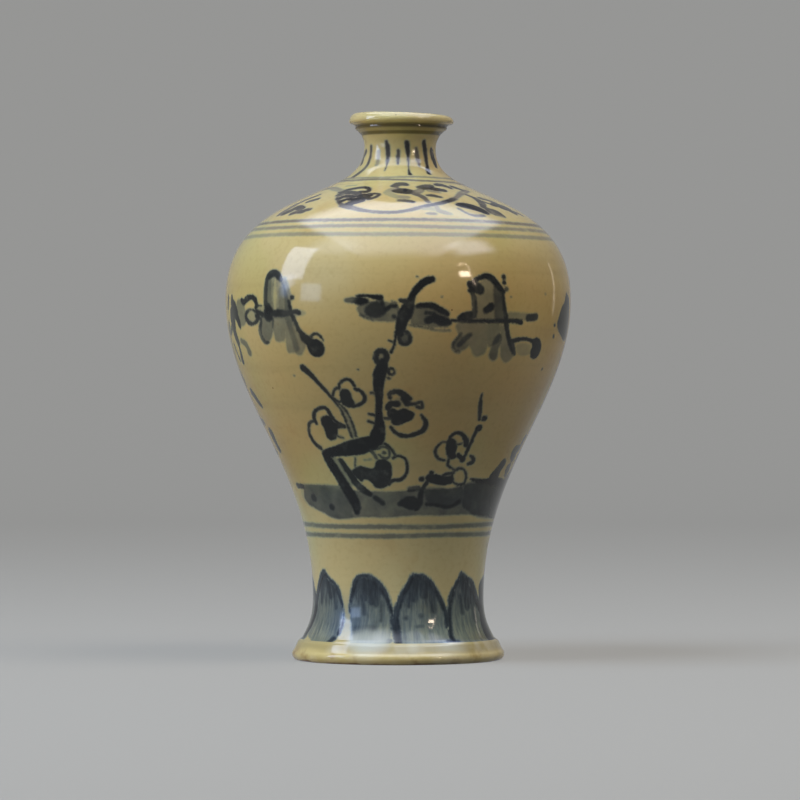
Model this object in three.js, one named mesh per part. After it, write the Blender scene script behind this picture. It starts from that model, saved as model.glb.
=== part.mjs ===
// Blue and white vase of the meiping (plum vase) form, in porcelain stoneware.
// It is thrown in rings and joined with liquid clay, the way such vases are made.
// Millimetres, +Z up. The origin is the middle of the foot, on the surface it stands on.

import * as THREE from "three";

// Heights above the standing surface, along the axis
const TOTAL_HEIGHT = 260;
const WIDEST_HEIGHT = 171.6;
const WAIST_HEIGHT = 30;

// Depths below the top of the lip: the neck keeps its length when the vase gets taller
const NECK_WAIST_DEPTH = 15.8;
const SHOULDER_BREAK_DEPTH = 38.7;

// Outer diameters
const LIP_DIAMETER = 50;
const COLLAR_DIAMETER = 42.4;
const NECK_DIAMETER = 34.2;
const NECK_TOP_DIAMETER = 37.8;
const SHOULDER_BREAK_DIAMETER = 86;
const WIDEST_DIAMETER = 165;
const WAIST_DIAMETER = 81.6;
const FOOT_DIAMETER = 101.6;

// Rolled lip and the collar turned under it
const LIP_HEIGHT = 4.4;
const LIP_EDGE_RADIUS = 1;
const COLLAR_HEIGHT = 4.6;
const COLLAR_TAPER = 0.7;
const COLLAR_STEP = 0.6;
const MOUTH_EDGE_RADIUS = 3;

// Foot rim
const FOOT_RIM_HEIGHT = 11;
const FOOT_RIM_INSET = 5.2;
const FOOT_SHELF_HEIGHT = 9.1;
const FOOT_SHELF_INSET = 2.9;
const FOOT_EDGE_RADIUS = 3.6;
const FOOT_RING_WIDTH = 5.4;
const FOOT_RECESS_DEPTH = 8;
const FOOT_RECESS_TAPER = 2;

// Wall thicknesses and the floor of the vase
const NECK_WALL = 4.2;
const BODY_WALL = 4.6;
const WAIST_WALL = 6;
const BASE_DISC_THICKNESS = 6;
const BASE_DISC_EDGE_GAP = 0.3;
const BASE_LEDGE_WIDTH = 3.5;
const BASE_LEDGE_THICKNESS = 2.5;

// Joints between the thrown rings, each at the middle of its layer of slip
const SLIP_THICKNESS = 0.8;
const SLIP_BEAD = 1.1;
const NECK_JOINT_DEPTH = 34;
const BELLY_JOINT_HEIGHT = 150;
const WAIST_JOINT_HEIGHT = 66;

// Pull of each curve at its two ends, as shares of the height that it spans
const COLLAR_CURVE_TOP_PULL = 0.32;
const COLLAR_CURVE_FOOT_PULL = 0.48;
const NECK_CURVE_TOP_PULL = 0.524;
const NECK_CURVE_FOOT_PULL = 0.764;
const SHOULDER_CURVE_TOP_PULL = 0.483;
const SHOULDER_CURVE_WIDE_PULL = 0.583;
const BODY_CURVE_WIDE_PULL = 0.338;
const BODY_CURVE_WAIST_PULL = 0.435;
const FOOT_CURVE_WAIST_PULL = 0.526;
const FOOT_CURVE_RIM_PULL = 0.316;
const SHOULDER_BREAK_SLOPE = -0.44;
const FOOT_FLARE_SLOPE = -2;
const COLLAR_CURVE_SLOPE = 2;

// Fineness of the solids
const ANGLE_STEPS = 48;
const OUTER_STEPS = { collar: 2, neck: 7, shoulder: 9, body: 15, foot: 5 };
const INNER_STEPS = { neck: 6, shoulder: 7, body: 11, foot: 1 };
const ROUND_STEPS = 5;
const CLOSEST_POINTS = 0.6;
const HEIGHT_SEARCH_STEPS = 40;

// Glazed clay, bare fired clay and joining slip
const GLAZE_COLOUR = 0xcfc190;
const BARE_CLAY_COLOUR = 0xb98449;
const SLIP_COLOUR = 0xd8ccaa;
const GLAZE_ROUGHNESS = 0.15;
const BARE_CLAY_ROUGHNESS = 0.85;

const radiusOf = (diameter) => diameter / 2;

const DOWN = new THREE.Vector2(0, -1);
const BREAK_DIRECTION = new THREE.Vector2(1, SHOULDER_BREAK_SLOPE);
const FLARE_DIRECTION = new THREE.Vector2(1, FOOT_FLARE_SLOPE);
const COLLAR_DIRECTION = new THREE.Vector2(-1, -COLLAR_CURVE_SLOPE);

// Heights that follow from the sizes above
const lipBottom = TOTAL_HEIGHT - LIP_HEIGHT;
const collarBottom = lipBottom - COLLAR_HEIGHT;
const neckWaistHeight = TOTAL_HEIGHT - NECK_WAIST_DEPTH;
const shoulderBreakHeight = TOTAL_HEIGHT - SHOULDER_BREAK_DEPTH;
const neckJointHeight = TOTAL_HEIGHT - NECK_JOINT_DEPTH;
const ledgeTop = FOOT_RECESS_DEPTH + BASE_LEDGE_THICKNESS;
const discBottom = ledgeTop + SLIP_THICKNESS;
const discTop = discBottom + BASE_DISC_THICKNESS;

// A curve down from one point to another that leaves and arrives along given directions.
function pulledCurve(start, startDirection, startPull, end, endDirection, endPull) {
  const span = start.y - end.y;
  const startWay = startDirection.clone().normalize();
  const endWay = endDirection.clone().normalize();
  const startHandle = start.clone().addScaledVector(startWay, startPull * span);
  const endHandle = end.clone().addScaledVector(endWay, -endPull * span);
  return new THREE.CubicBezierCurve(start, startHandle, endHandle, end);
}

// The neck, shoulder and body curves through four rings of a face, from the neck down.
function faceCurves(neckWaist, shoulderBreak, widest, waist) {
  return {
    neck: pulledCurve(
      neckWaist, DOWN, NECK_CURVE_TOP_PULL,
      shoulderBreak, BREAK_DIRECTION, NECK_CURVE_FOOT_PULL,
    ),
    shoulder: pulledCurve(
      shoulderBreak, BREAK_DIRECTION, SHOULDER_CURVE_TOP_PULL,
      widest, DOWN, SHOULDER_CURVE_WIDE_PULL,
    ),
    body: pulledCurve(widest, DOWN, BODY_CURVE_WIDE_PULL, waist, DOWN, BODY_CURVE_WAIST_PULL),
  };
}

// Rings of the outer face
const collarFoot = new THREE.Vector2(radiusOf(NECK_TOP_DIAMETER), collarBottom - COLLAR_STEP);
const neckWaist = new THREE.Vector2(radiusOf(NECK_DIAMETER), neckWaistHeight);
const shoulderBreak = new THREE.Vector2(radiusOf(SHOULDER_BREAK_DIAMETER), shoulderBreakHeight);
const widest = new THREE.Vector2(radiusOf(WIDEST_DIAMETER), WIDEST_HEIGHT);
const waist = new THREE.Vector2(radiusOf(WAIST_DIAMETER), WAIST_HEIGHT);
const rimTop = new THREE.Vector2(radiusOf(FOOT_DIAMETER) - FOOT_RIM_INSET, FOOT_RIM_HEIGHT);

// Rings of the inner face, set in from the outer ones by the wall
const boreWaist = neckWaist.clone().addScaledVector(new THREE.Vector2(-1, 0), NECK_WALL);
const innerBreak = shoulderBreak.clone().addScaledVector(
  new THREE.Vector2(SHOULDER_BREAK_SLOPE, -1).normalize(), BODY_WALL,
);
const innerWidest = widest.clone().addScaledVector(new THREE.Vector2(-1, 0), BODY_WALL);
const innerWaist = waist.clone().addScaledVector(new THREE.Vector2(-1, 0), WAIST_WALL);
const ledgeCorner = new THREE.Vector2(innerWaist.x, ledgeTop);

const OUTER_CURVES = {
  collar: pulledCurve(
    collarFoot, COLLAR_DIRECTION, COLLAR_CURVE_TOP_PULL,
    neckWaist, DOWN, COLLAR_CURVE_FOOT_PULL,
  ),
  ...faceCurves(neckWaist, shoulderBreak, widest, waist),
  foot: pulledCurve(
    waist, DOWN, FOOT_CURVE_WAIST_PULL,
    rimTop, FLARE_DIRECTION, FOOT_CURVE_RIM_PULL,
  ),
};

const INNER_CURVES = {
  ...faceCurves(boreWaist, innerBreak, innerWidest, innerWaist),
  foot: new THREE.LineCurve(innerWaist, ledgeCorner),
};

// Where a face crosses a height. Each face falls all the way, so it crosses a height once.
function pointAtHeight(curves, height) {
  const curve = Object.values(curves).find(
    (piece) => piece.getPoint(0).y >= height && piece.getPoint(1).y <= height,
  );
  let above = 0;
  let below = 1;
  for (let step = 0; step < HEIGHT_SEARCH_STEPS; step += 1) {
    const middle = (above + below) / 2;
    if (curve.getPoint(middle).y > height) {
      above = middle;
    } else {
      below = middle;
    }
  }
  return new THREE.Vector2(curve.getPoint(below).x, height);
}

// The points of a face between two heights, from the upper one down.
function facePoints(curves, steps, upper, lower) {
  const points = [pointAtHeight(curves, upper)];
  const last = pointAtHeight(curves, lower);
  for (const [name, curve] of Object.entries(curves)) {
    for (const point of curve.getPoints(steps[name])) {
      const inside = point.y < upper && point.y > lower;
      const clear = point.distanceTo(points[points.length - 1]) > CLOSEST_POINTS
        && point.distanceTo(last) > CLOSEST_POINTS;
      if (inside && clear) {
        points.push(point);
      }
    }
  }
  return [...points, last];
}

const outerFace = (upper, lower) => facePoints(OUTER_CURVES, OUTER_STEPS, upper, lower);
const innerFace = (upper, lower) => facePoints(INNER_CURVES, INNER_STEPS, upper, lower);

// An arc of a profile, from one angle to another in degrees, both ends included.
function arcPoints(centreRadius, centreHeight, radius, startAngle, endAngle) {
  const points = [];
  for (let step = 0; step <= ROUND_STEPS; step += 1) {
    const turn = startAngle + ((endAngle - startAngle) * step) / ROUND_STEPS;
    const angle = THREE.MathUtils.degToRad(turn);
    points.push(new THREE.Vector2(
      centreRadius + radius * Math.cos(angle),
      centreHeight + radius * Math.sin(angle),
    ));
  }
  return points;
}

// Turns a profile about +Z. It runs from the inside over the top and down the outside,
// and is closed back to its first point unless it starts on the axis.
function turned(name, profile, colour, roughness) {
  const onAxis = profile[0].x === 0;
  const outline = onAxis ? profile : [...profile, profile[0]];
  const points = outline.filter(
    (point, index) => index === 0 || point.distanceTo(outline[index - 1]) > 0,
  );
  const geometry = new THREE.LatheGeometry(points.reverse(), ANGLE_STEPS);
  geometry.rotateX(Math.PI / 2);
  const material = new THREE.MeshStandardMaterial({ color: colour, roughness, metalness: 0 });
  const mesh = new THREE.Mesh(geometry, material);
  mesh.name = name;
  return mesh;
}

// Rolled lip, collar and neck, down to the joint on the shoulder.
function makeMouthAndNeck() {
  const lipRadius = radiusOf(LIP_DIAMETER);
  const lipTopRadius = LIP_HEIGHT - LIP_EDGE_RADIUS;
  const lipMiddle = lipBottom + LIP_EDGE_RADIUS;
  const mouthCentre = TOTAL_HEIGHT - MOUTH_EDGE_RADIUS;
  const collarRadius = radiusOf(COLLAR_DIAMETER);
  const jointTop = neckJointHeight + SLIP_THICKNESS / 2;
  const profile = [
    ...innerFace(neckWaistHeight, jointTop).reverse(),
    ...arcPoints(boreWaist.x + MOUTH_EDGE_RADIUS, mouthCentre, MOUTH_EDGE_RADIUS, 180, 90),
    ...arcPoints(lipRadius - lipTopRadius, lipMiddle, lipTopRadius, 90, 0),
    ...arcPoints(lipRadius - LIP_EDGE_RADIUS, lipMiddle, LIP_EDGE_RADIUS, 0, -90),
    new THREE.Vector2(collarRadius, lipBottom),
    new THREE.Vector2(collarRadius - COLLAR_TAPER, collarBottom),
    ...outerFace(collarBottom - COLLAR_STEP, jointTop),
  ];
  return turned("mouth_and_neck", profile, GLAZE_COLOUR, GLAZE_ROUGHNESS);
}

// A thrown ring of the body between two joints.
function makeRing(name, upperJoint, lowerJoint) {
  const top = upperJoint - SLIP_THICKNESS / 2;
  const bottom = lowerJoint + SLIP_THICKNESS / 2;
  const profile = [...innerFace(top, bottom).reverse(), ...outerFace(top, bottom)];
  return turned(name, profile, GLAZE_COLOUR, GLAZE_ROUGHNESS);
}

// The waist, the flared foot rim and the foot ring, with a ledge inside for the base disc.
function makeFoot() {
  const top = WAIST_JOINT_HEIGHT - SLIP_THICKNESS / 2;
  const footRadius = radiusOf(FOOT_DIAMETER);
  const edgeCentre = footRadius - FOOT_EDGE_RADIUS;
  const recessRadius = edgeCentre - FOOT_RING_WIDTH;
  const ledgeRadius = innerWaist.x - BASE_LEDGE_WIDTH;
  const profile = [
    new THREE.Vector2(ledgeRadius, FOOT_RECESS_DEPTH),
    new THREE.Vector2(ledgeRadius, ledgeTop),
    ...innerFace(top, ledgeTop).reverse(),
    ...outerFace(top, FOOT_RIM_HEIGHT),
    new THREE.Vector2(footRadius - FOOT_SHELF_INSET, FOOT_SHELF_HEIGHT),
    ...arcPoints(edgeCentre, FOOT_EDGE_RADIUS, FOOT_EDGE_RADIUS, 40, -90),
    new THREE.Vector2(recessRadius, 0),
    new THREE.Vector2(recessRadius - FOOT_RECESS_TAPER, FOOT_RECESS_DEPTH),
  ];
  return turned("foot_section", profile, GLAZE_COLOUR, GLAZE_ROUGHNESS);
}

// The round slab that closes the foot. It rests on the ledge, bedded in slip.
function makeBaseDisc() {
  const discRadius = innerWaist.x - BASE_DISC_EDGE_GAP;
  const profile = [
    new THREE.Vector2(0, discTop),
    new THREE.Vector2(discRadius, discTop),
    new THREE.Vector2(discRadius, discBottom),
    new THREE.Vector2(0, discBottom),
  ];
  return turned("base_disc", profile, BARE_CLAY_COLOUR, BARE_CLAY_ROUGHNESS);
}

// The layer of joining slip between two thrown rings, squeezed out into a bead inside.
function makeWallSlip(name, jointHeight) {
  const top = jointHeight + SLIP_THICKNESS / 2;
  const bottom = jointHeight - SLIP_THICKNESS / 2;
  const inner = innerFace(top, bottom);
  const bead = new THREE.Vector2(Math.min(inner[0].x, inner[1].x) - SLIP_BEAD, jointHeight);
  const profile = [inner[1], bead, inner[0], ...outerFace(top, bottom)];
  return turned(name, profile, SLIP_COLOUR, BARE_CLAY_ROUGHNESS);
}

// The ring of slip that the base disc lies in, on the ledge.
function makeBaseSlip() {
  const innerRadius = innerWaist.x - BASE_LEDGE_WIDTH;
  const outerRadius = innerWaist.x - BASE_DISC_EDGE_GAP;
  const profile = [
    new THREE.Vector2(innerRadius, ledgeTop),
    new THREE.Vector2(innerRadius, discBottom),
    new THREE.Vector2(outerRadius, discBottom),
    new THREE.Vector2(outerRadius, ledgeTop),
  ];
  return turned("luting_slip_base", profile, SLIP_COLOUR, BARE_CLAY_ROUGHNESS);
}

const vase = new THREE.Group();
vase.add(
  makeMouthAndNeck(),
  makeWallSlip("luting_slip_neck", neckJointHeight),
  makeRing("shoulder_section", neckJointHeight, BELLY_JOINT_HEIGHT),
  makeWallSlip("luting_slip_belly", BELLY_JOINT_HEIGHT),
  makeRing("belly_section", BELLY_JOINT_HEIGHT, WAIST_JOINT_HEIGHT),
  makeWallSlip("luting_slip_waist", WAIST_JOINT_HEIGHT),
  makeFoot(),
  makeBaseSlip(),
  makeBaseDisc(),
);

export default vase;
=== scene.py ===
import math

import bmesh
import bpy
import numpy as np
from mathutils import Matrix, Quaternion, Vector


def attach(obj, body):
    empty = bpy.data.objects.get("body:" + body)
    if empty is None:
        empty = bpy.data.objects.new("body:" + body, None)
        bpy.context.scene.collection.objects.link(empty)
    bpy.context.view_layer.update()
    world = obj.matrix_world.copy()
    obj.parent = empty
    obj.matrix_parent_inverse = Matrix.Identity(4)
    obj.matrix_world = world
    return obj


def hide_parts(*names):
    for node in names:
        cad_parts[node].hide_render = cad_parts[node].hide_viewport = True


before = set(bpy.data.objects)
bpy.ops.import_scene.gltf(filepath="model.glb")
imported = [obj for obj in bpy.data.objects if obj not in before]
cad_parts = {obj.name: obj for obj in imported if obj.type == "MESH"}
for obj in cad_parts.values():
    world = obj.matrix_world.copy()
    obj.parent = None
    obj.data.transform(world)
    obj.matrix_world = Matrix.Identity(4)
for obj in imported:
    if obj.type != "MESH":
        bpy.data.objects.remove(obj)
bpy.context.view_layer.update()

MM = 0.001

# Outline of the vase, in metres: heights above the standing surface
TOTAL_HEIGHT = 0.260
WIDEST_HEIGHT = 0.1716
WAIST_HEIGHT = 0.030

# Depths below the top of the lip
NECK_WAIST_DEPTH = 0.0158
SHOULDER_BREAK_DEPTH = 0.0387

# Outer radii
LIP_RADIUS = 0.025
COLLAR_RADIUS = 0.0212
NECK_RADIUS = 0.0171
NECK_TOP_RADIUS = 0.0189
SHOULDER_BREAK_RADIUS = 0.043
WIDEST_RADIUS = 0.0825
WAIST_RADIUS = 0.0408
FOOT_RADIUS = 0.0508

# Lip, collar and foot rim
LIP_HEIGHT = 0.0044
LIP_EDGE_RADIUS = 0.001
COLLAR_HEIGHT = 0.0046
COLLAR_TAPER = 0.0007
COLLAR_STEP = 0.0006
MOUTH_EDGE_RADIUS = 0.003
FOOT_RIM_HEIGHT = 0.011
FOOT_RIM_INSET = 0.0052
FOOT_SHELF_HEIGHT = 0.0091
FOOT_SHELF_INSET = 0.0029
FOOT_EDGE_RADIUS = 0.0028
FOOT_RING_WIDTH = 0.0054
FOOT_RECESS_DEPTH = 0.008
FOOT_RECESS_TAPER = 0.002

# The soft moulding of the collar: steps out from its radius and down from the lip, and then steps
# out and up from the foot of its taper
COLLAR_MOULDING = ((0.0024, -0.0002), (0.0012, 0.0007), (0.0006, 0.0014), (0.0008, 0.0021),
                   (0.0004, 0.0029), (-0.0006, 0.0035))
COLLAR_FOOT_MOULDING = ((-0.0005, 0.0004), (-0.001, 0))

# How far the foot's rim starts out from the flare and below it, and the angle in degrees at which
# its rounded edge starts
FOOT_RIM_START = 0.0006
FOOT_EDGE_START = 50

# Pull of each curve at its two ends, as shares of the height that it spans
COLLAR_CURVE_TOP_PULL = 0.32
COLLAR_CURVE_FOOT_PULL = 0.48
NECK_CURVE_TOP_PULL = 0.524
NECK_CURVE_FOOT_PULL = 0.764
SHOULDER_CURVE_TOP_PULL = 0.483
SHOULDER_CURVE_WIDE_PULL = 0.583
BODY_CURVE_WIDE_PULL = 0.338
BODY_CURVE_WAIST_PULL = 0.435
FOOT_CURVE_WAIST_PULL = 0.526
FOOT_CURVE_RIM_PULL = 0.316

# Walls, base disc and joints
NECK_WALL = 0.0042
BODY_WALL = 0.0046
WAIST_WALL = 0.006
BASE_DISC_THICKNESS = 0.006
BASE_DISC_EDGE_GAP = 0.0003
BASE_DISC_BEVEL = 0.0008
BASE_LEDGE_WIDTH = 0.0035
BASE_LEDGE_THICKNESS = 0.0025
SLIP_THICKNESS = 0.0008
SLIP_BEAD = 0.0011
SLIP_SETBACK = 0.0007
NECK_JOINT_DEPTH = 0.034
BELLY_JOINT_HEIGHT = 0.150
WAIST_JOINT_HEIGHT = 0.066

# The neck was thrown a little out of true, and leans and tips to the right above its joint. The
# slopes of the tip are reached at shares of the height from the collar's foot to the lip's top.
LEAN_AT_LIP = 0.0017
LIP_TIP_TOP = 0.034
LIP_TIP_BOTTOM = 0.005
LIP_TIP_SHARES = (-1, 0.5, 1)

LIP_BOTTOM = TOTAL_HEIGHT - LIP_HEIGHT
COLLAR_BOTTOM = LIP_BOTTOM - COLLAR_HEIGHT
NECK_WAIST_HEIGHT = TOTAL_HEIGHT - NECK_WAIST_DEPTH
SHOULDER_BREAK_HEIGHT = TOTAL_HEIGHT - SHOULDER_BREAK_DEPTH
NECK_JOINT_HEIGHT = TOTAL_HEIGHT - NECK_JOINT_DEPTH
LEDGE_TOP = FOOT_RECESS_DEPTH + BASE_LEDGE_THICKNESS
DISC_BOTTOM = LEDGE_TOP + SLIP_THICKNESS
DISC_TOP = DISC_BOTTOM + BASE_DISC_THICKNESS
INNER_WAIST_RADIUS = WAIST_RADIUS - WAIST_WALL

# The view of the reference: image size, focal length and eye, with the vase's axis in it
IMAGE_PIXELS = 800
FOCAL_PIXELS = 4200
AXIS_PIXEL = 398.2
EYE_PIXEL = 406.7
EYE_HEIGHT = 0.1206
EYE_DISTANCE = 2.007
SENSOR_WIDTH = 36
CAMERA_REACH = 50


# Profiles of radius and height

DOWN = (0, -1)
BREAK_WAY = (1, -0.44)
FLARE_WAY = (1, -2)
COLLAR_WAY = (-1, -2)

# Points along the curves
CURVE_STEPS = 60
LONG_CURVE_STEPS = 120
COLLAR_CURVE_STEPS = 20
FOOT_CURVE_STEPS = 30
ARC_STEPS = 14


def pulled(start, start_way, start_pull, end, end_way, end_pull, count=CURVE_STEPS):
    """Points of a curve down from start to end. The pulls are shares of the height it spans."""
    start, end = np.array(start), np.array(end)
    span = start[1] - end[1]
    first = start + np.array(start_way) / np.linalg.norm(start_way) * start_pull * span
    second = end - np.array(end_way) / np.linalg.norm(end_way) * end_pull * span
    t = np.linspace(0, 1, count)[:, None]
    return ((1 - t) ** 3 * start + 3 * (1 - t) ** 2 * t * first
            + 3 * (1 - t) * t ** 2 * second + t ** 3 * end)


def arc(centre_radius, centre_height, radius, start, end):
    """Points of an arc, from one angle to another in degrees."""
    turn = np.radians(np.linspace(start, end, ARC_STEPS))
    return np.stack([centre_radius + radius * np.cos(turn),
                     centre_height + radius * np.sin(turn)], axis=1)


def face_curves(neck, shoulder, widest, waist):
    """Neck, shoulder and body curves of a face through four rings, from the neck down."""
    return np.concatenate([
        pulled(neck, DOWN, NECK_CURVE_TOP_PULL, shoulder, BREAK_WAY, NECK_CURVE_FOOT_PULL),
        pulled(shoulder, BREAK_WAY, SHOULDER_CURVE_TOP_PULL, widest, DOWN, SHOULDER_CURVE_WIDE_PULL),
        pulled(widest, DOWN, BODY_CURVE_WIDE_PULL, waist, DOWN, BODY_CURVE_WAIST_PULL,
               LONG_CURVE_STEPS),
    ])


def outer_wall():
    """The outer face from under the collar down to the top of the foot rim."""
    neck = (NECK_RADIUS, NECK_WAIST_HEIGHT)
    shoulder = (SHOULDER_BREAK_RADIUS, SHOULDER_BREAK_HEIGHT)
    widest = (WIDEST_RADIUS, WIDEST_HEIGHT)
    waist = (WAIST_RADIUS, WAIST_HEIGHT)
    rim = (FOOT_RADIUS - FOOT_RIM_INSET, FOOT_RIM_HEIGHT)
    collar = (NECK_TOP_RADIUS, COLLAR_BOTTOM - COLLAR_STEP)
    return np.concatenate([
        pulled(collar, COLLAR_WAY, COLLAR_CURVE_TOP_PULL, neck, DOWN, COLLAR_CURVE_FOOT_PULL,
               COLLAR_CURVE_STEPS),
        face_curves(neck, shoulder, widest, waist),
        pulled(waist, DOWN, FOOT_CURVE_WAIST_PULL, rim, FLARE_WAY, FOOT_CURVE_RIM_PULL,
               FOOT_CURVE_STEPS),
    ])


def inner_wall():
    """The inner face, set in by the wall, down to the ledge."""
    inset = np.array((BREAK_WAY[1], -BREAK_WAY[0]))
    inset = inset / np.linalg.norm(inset) * BODY_WALL
    shoulder = np.array((SHOULDER_BREAK_RADIUS, SHOULDER_BREAK_HEIGHT)) + inset
    curves = face_curves(
        (NECK_RADIUS - NECK_WALL, NECK_WAIST_HEIGHT), shoulder,
        (WIDEST_RADIUS - BODY_WALL, WIDEST_HEIGHT), (INNER_WAIST_RADIUS, WAIST_HEIGHT))
    return np.concatenate([curves, [(INNER_WAIST_RADIUS, LEDGE_TOP)]])


OUTER = outer_wall()
INNER = inner_wall()


def radius_at(wall, height):
    """Radius of a wall at a height."""
    return np.interp(height, wall[::-1, 1], wall[::-1, 0])


def stretch(wall, upper, lower):
    """The part of a wall between two heights, from the upper one down."""
    inside = wall[(wall[:, 1] < upper) & (wall[:, 1] > lower)]
    top = (radius_at(wall, upper), upper)
    bottom = (radius_at(wall, lower), lower)
    return np.concatenate([[top], inside, [bottom]])


def spaced(points, spacing):
    """The same outline with its points an even distance apart."""
    steps = np.linalg.norm(np.diff(points, axis=0), axis=1)
    length = np.concatenate([[0], np.cumsum(steps)])
    even = np.linspace(0, length[-1], max(2, math.ceil(length[-1] / spacing) + 1))
    return np.stack([np.interp(even, length, points[:, 0]),
                     np.interp(even, length, points[:, 1])], axis=1)


def lean(height):
    """How far the neck stands off the axis at a height."""
    share = np.clip((height - NECK_JOINT_HEIGHT) / (TOTAL_HEIGHT - NECK_JOINT_HEIGHT), 0, 1)
    return LEAN_AT_LIP * share


# Brushwork. Strokes and washes are laid on the outer face before the vase is turned.

# Distances that count as far from a mark and as on the skin, and over which marks' tones blend
FAR = 0.004
SKIN = 0.0012
BLEND = 0.0005

# Steps of the search for the face along a line of sight, and between two spots of a stroke
DEPTH_STEPS = 600
SPAN_STEPS = 6

# A width seen aslant grows by no more than this factor, and a dot is a stroke of one step in
# pixels
WIDEST_SPREAD = 3.0
DOT_STEP = (0.5, 0, 0)

# Small values that keep a division from failing
LEAST_SQUARE = 1e-12
LEAST_WEIGHT = 1e-9
LEAST_STEP = 1e-6


def on_vase(pixels):
    """Angles from the front and heights of the outer face seen at pixels of the reference."""
    pixels = np.asarray(pixels, dtype=float)
    depth = np.linspace(EYE_DISTANCE - WIDEST_RADIUS - MM, EYE_DISTANCE, DEPTH_STEPS)
    height = EYE_HEIGHT + (EYE_PIXEL - pixels[:, 1, None]) / FOCAL_PIXELS * depth
    across = (pixels[:, 0, None] - AXIS_PIXEL) / FOCAL_PIXELS * depth - lean(height)
    outside = np.hypot(across, EYE_DISTANCE - depth) - radius_at(OUTER, height)
    entered = outside <= 0
    first = np.where(entered.any(axis=1), entered.argmax(axis=1), outside.argmin(axis=1))
    rows = np.arange(len(pixels))
    return np.stack([np.arctan2(across[rows, first], EYE_DISTANCE - depth[first]),
                     height[rows, first]], axis=1)


def place(spots):
    """Points of the outer face at angles from the front and heights."""
    radius = radius_at(OUTER, spots[:, 1])
    return np.stack([radius * np.sin(spots[:, 0]), -radius * np.cos(spots[:, 0]), spots[:, 1]],
                    axis=1)


def carried(spots, turn, mirror):
    """Spots carried round the vase by a turn in degrees, mirrored first if asked."""
    way = -1 if mirror else 1
    return np.column_stack([way * spots[:, 0] + math.radians(turn), spots[:, 1:]])


def smooth_run(points, closed=False):
    """A smooth run through control points, of any number of columns."""
    points = np.array(points, dtype=float)
    if closed:
        padded = np.concatenate([points[-1:], points, points[:2]])
    else:
        before, after = 2 * points[0] - points[1], 2 * points[-1] - points[-2]
        padded = np.concatenate([[before], points, [after]])
    runs = []
    t = np.linspace(0, 1, SPAN_STEPS, endpoint=False)[:, None]
    for a, b, c, d in zip(padded, padded[1:], padded[2:], padded[3:]):
        runs.append(0.5 * (2 * b + (c - a) * t + (2 * a - 5 * b + 4 * c - d) * t ** 2
                           + (3 * b - a - 3 * c + d) * t ** 3))
    return np.concatenate(runs + [padded[-2:-1]])


def gap_to_run(spots, run, half):
    """Distance of spots outside a run's edge, with the run's half widths."""
    best = np.full(len(spots), FAR)
    for i in range(len(run) - 1):
        along = run[i + 1] - run[i]
        share = np.clip((spots - run[i]) @ along / max(along @ along, LEAST_SQUARE), 0, 1)
        gap = np.linalg.norm(spots - run[i] - share[:, None] * along, axis=1)
        gap -= half[i] + share * (half[i + 1] - half[i])
        best = np.minimum(best, gap)
    return best


def inside_outline(spots, outline):
    """Whether spots lie inside a closed outline, in angle and height."""
    inside = np.zeros(len(spots), dtype=bool)
    for (x0, y0), (x1, y1) in zip(outline, np.roll(outline, -1, axis=0)):
        if y0 == y1:
            continue
        crosses = (spots[:, 1] < y0) != (spots[:, 1] < y1)
        inside ^= crosses & (spots[:, 0] < x0 + (spots[:, 1] - y0) / (y1 - y0) * (x1 - x0))
    return inside


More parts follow.
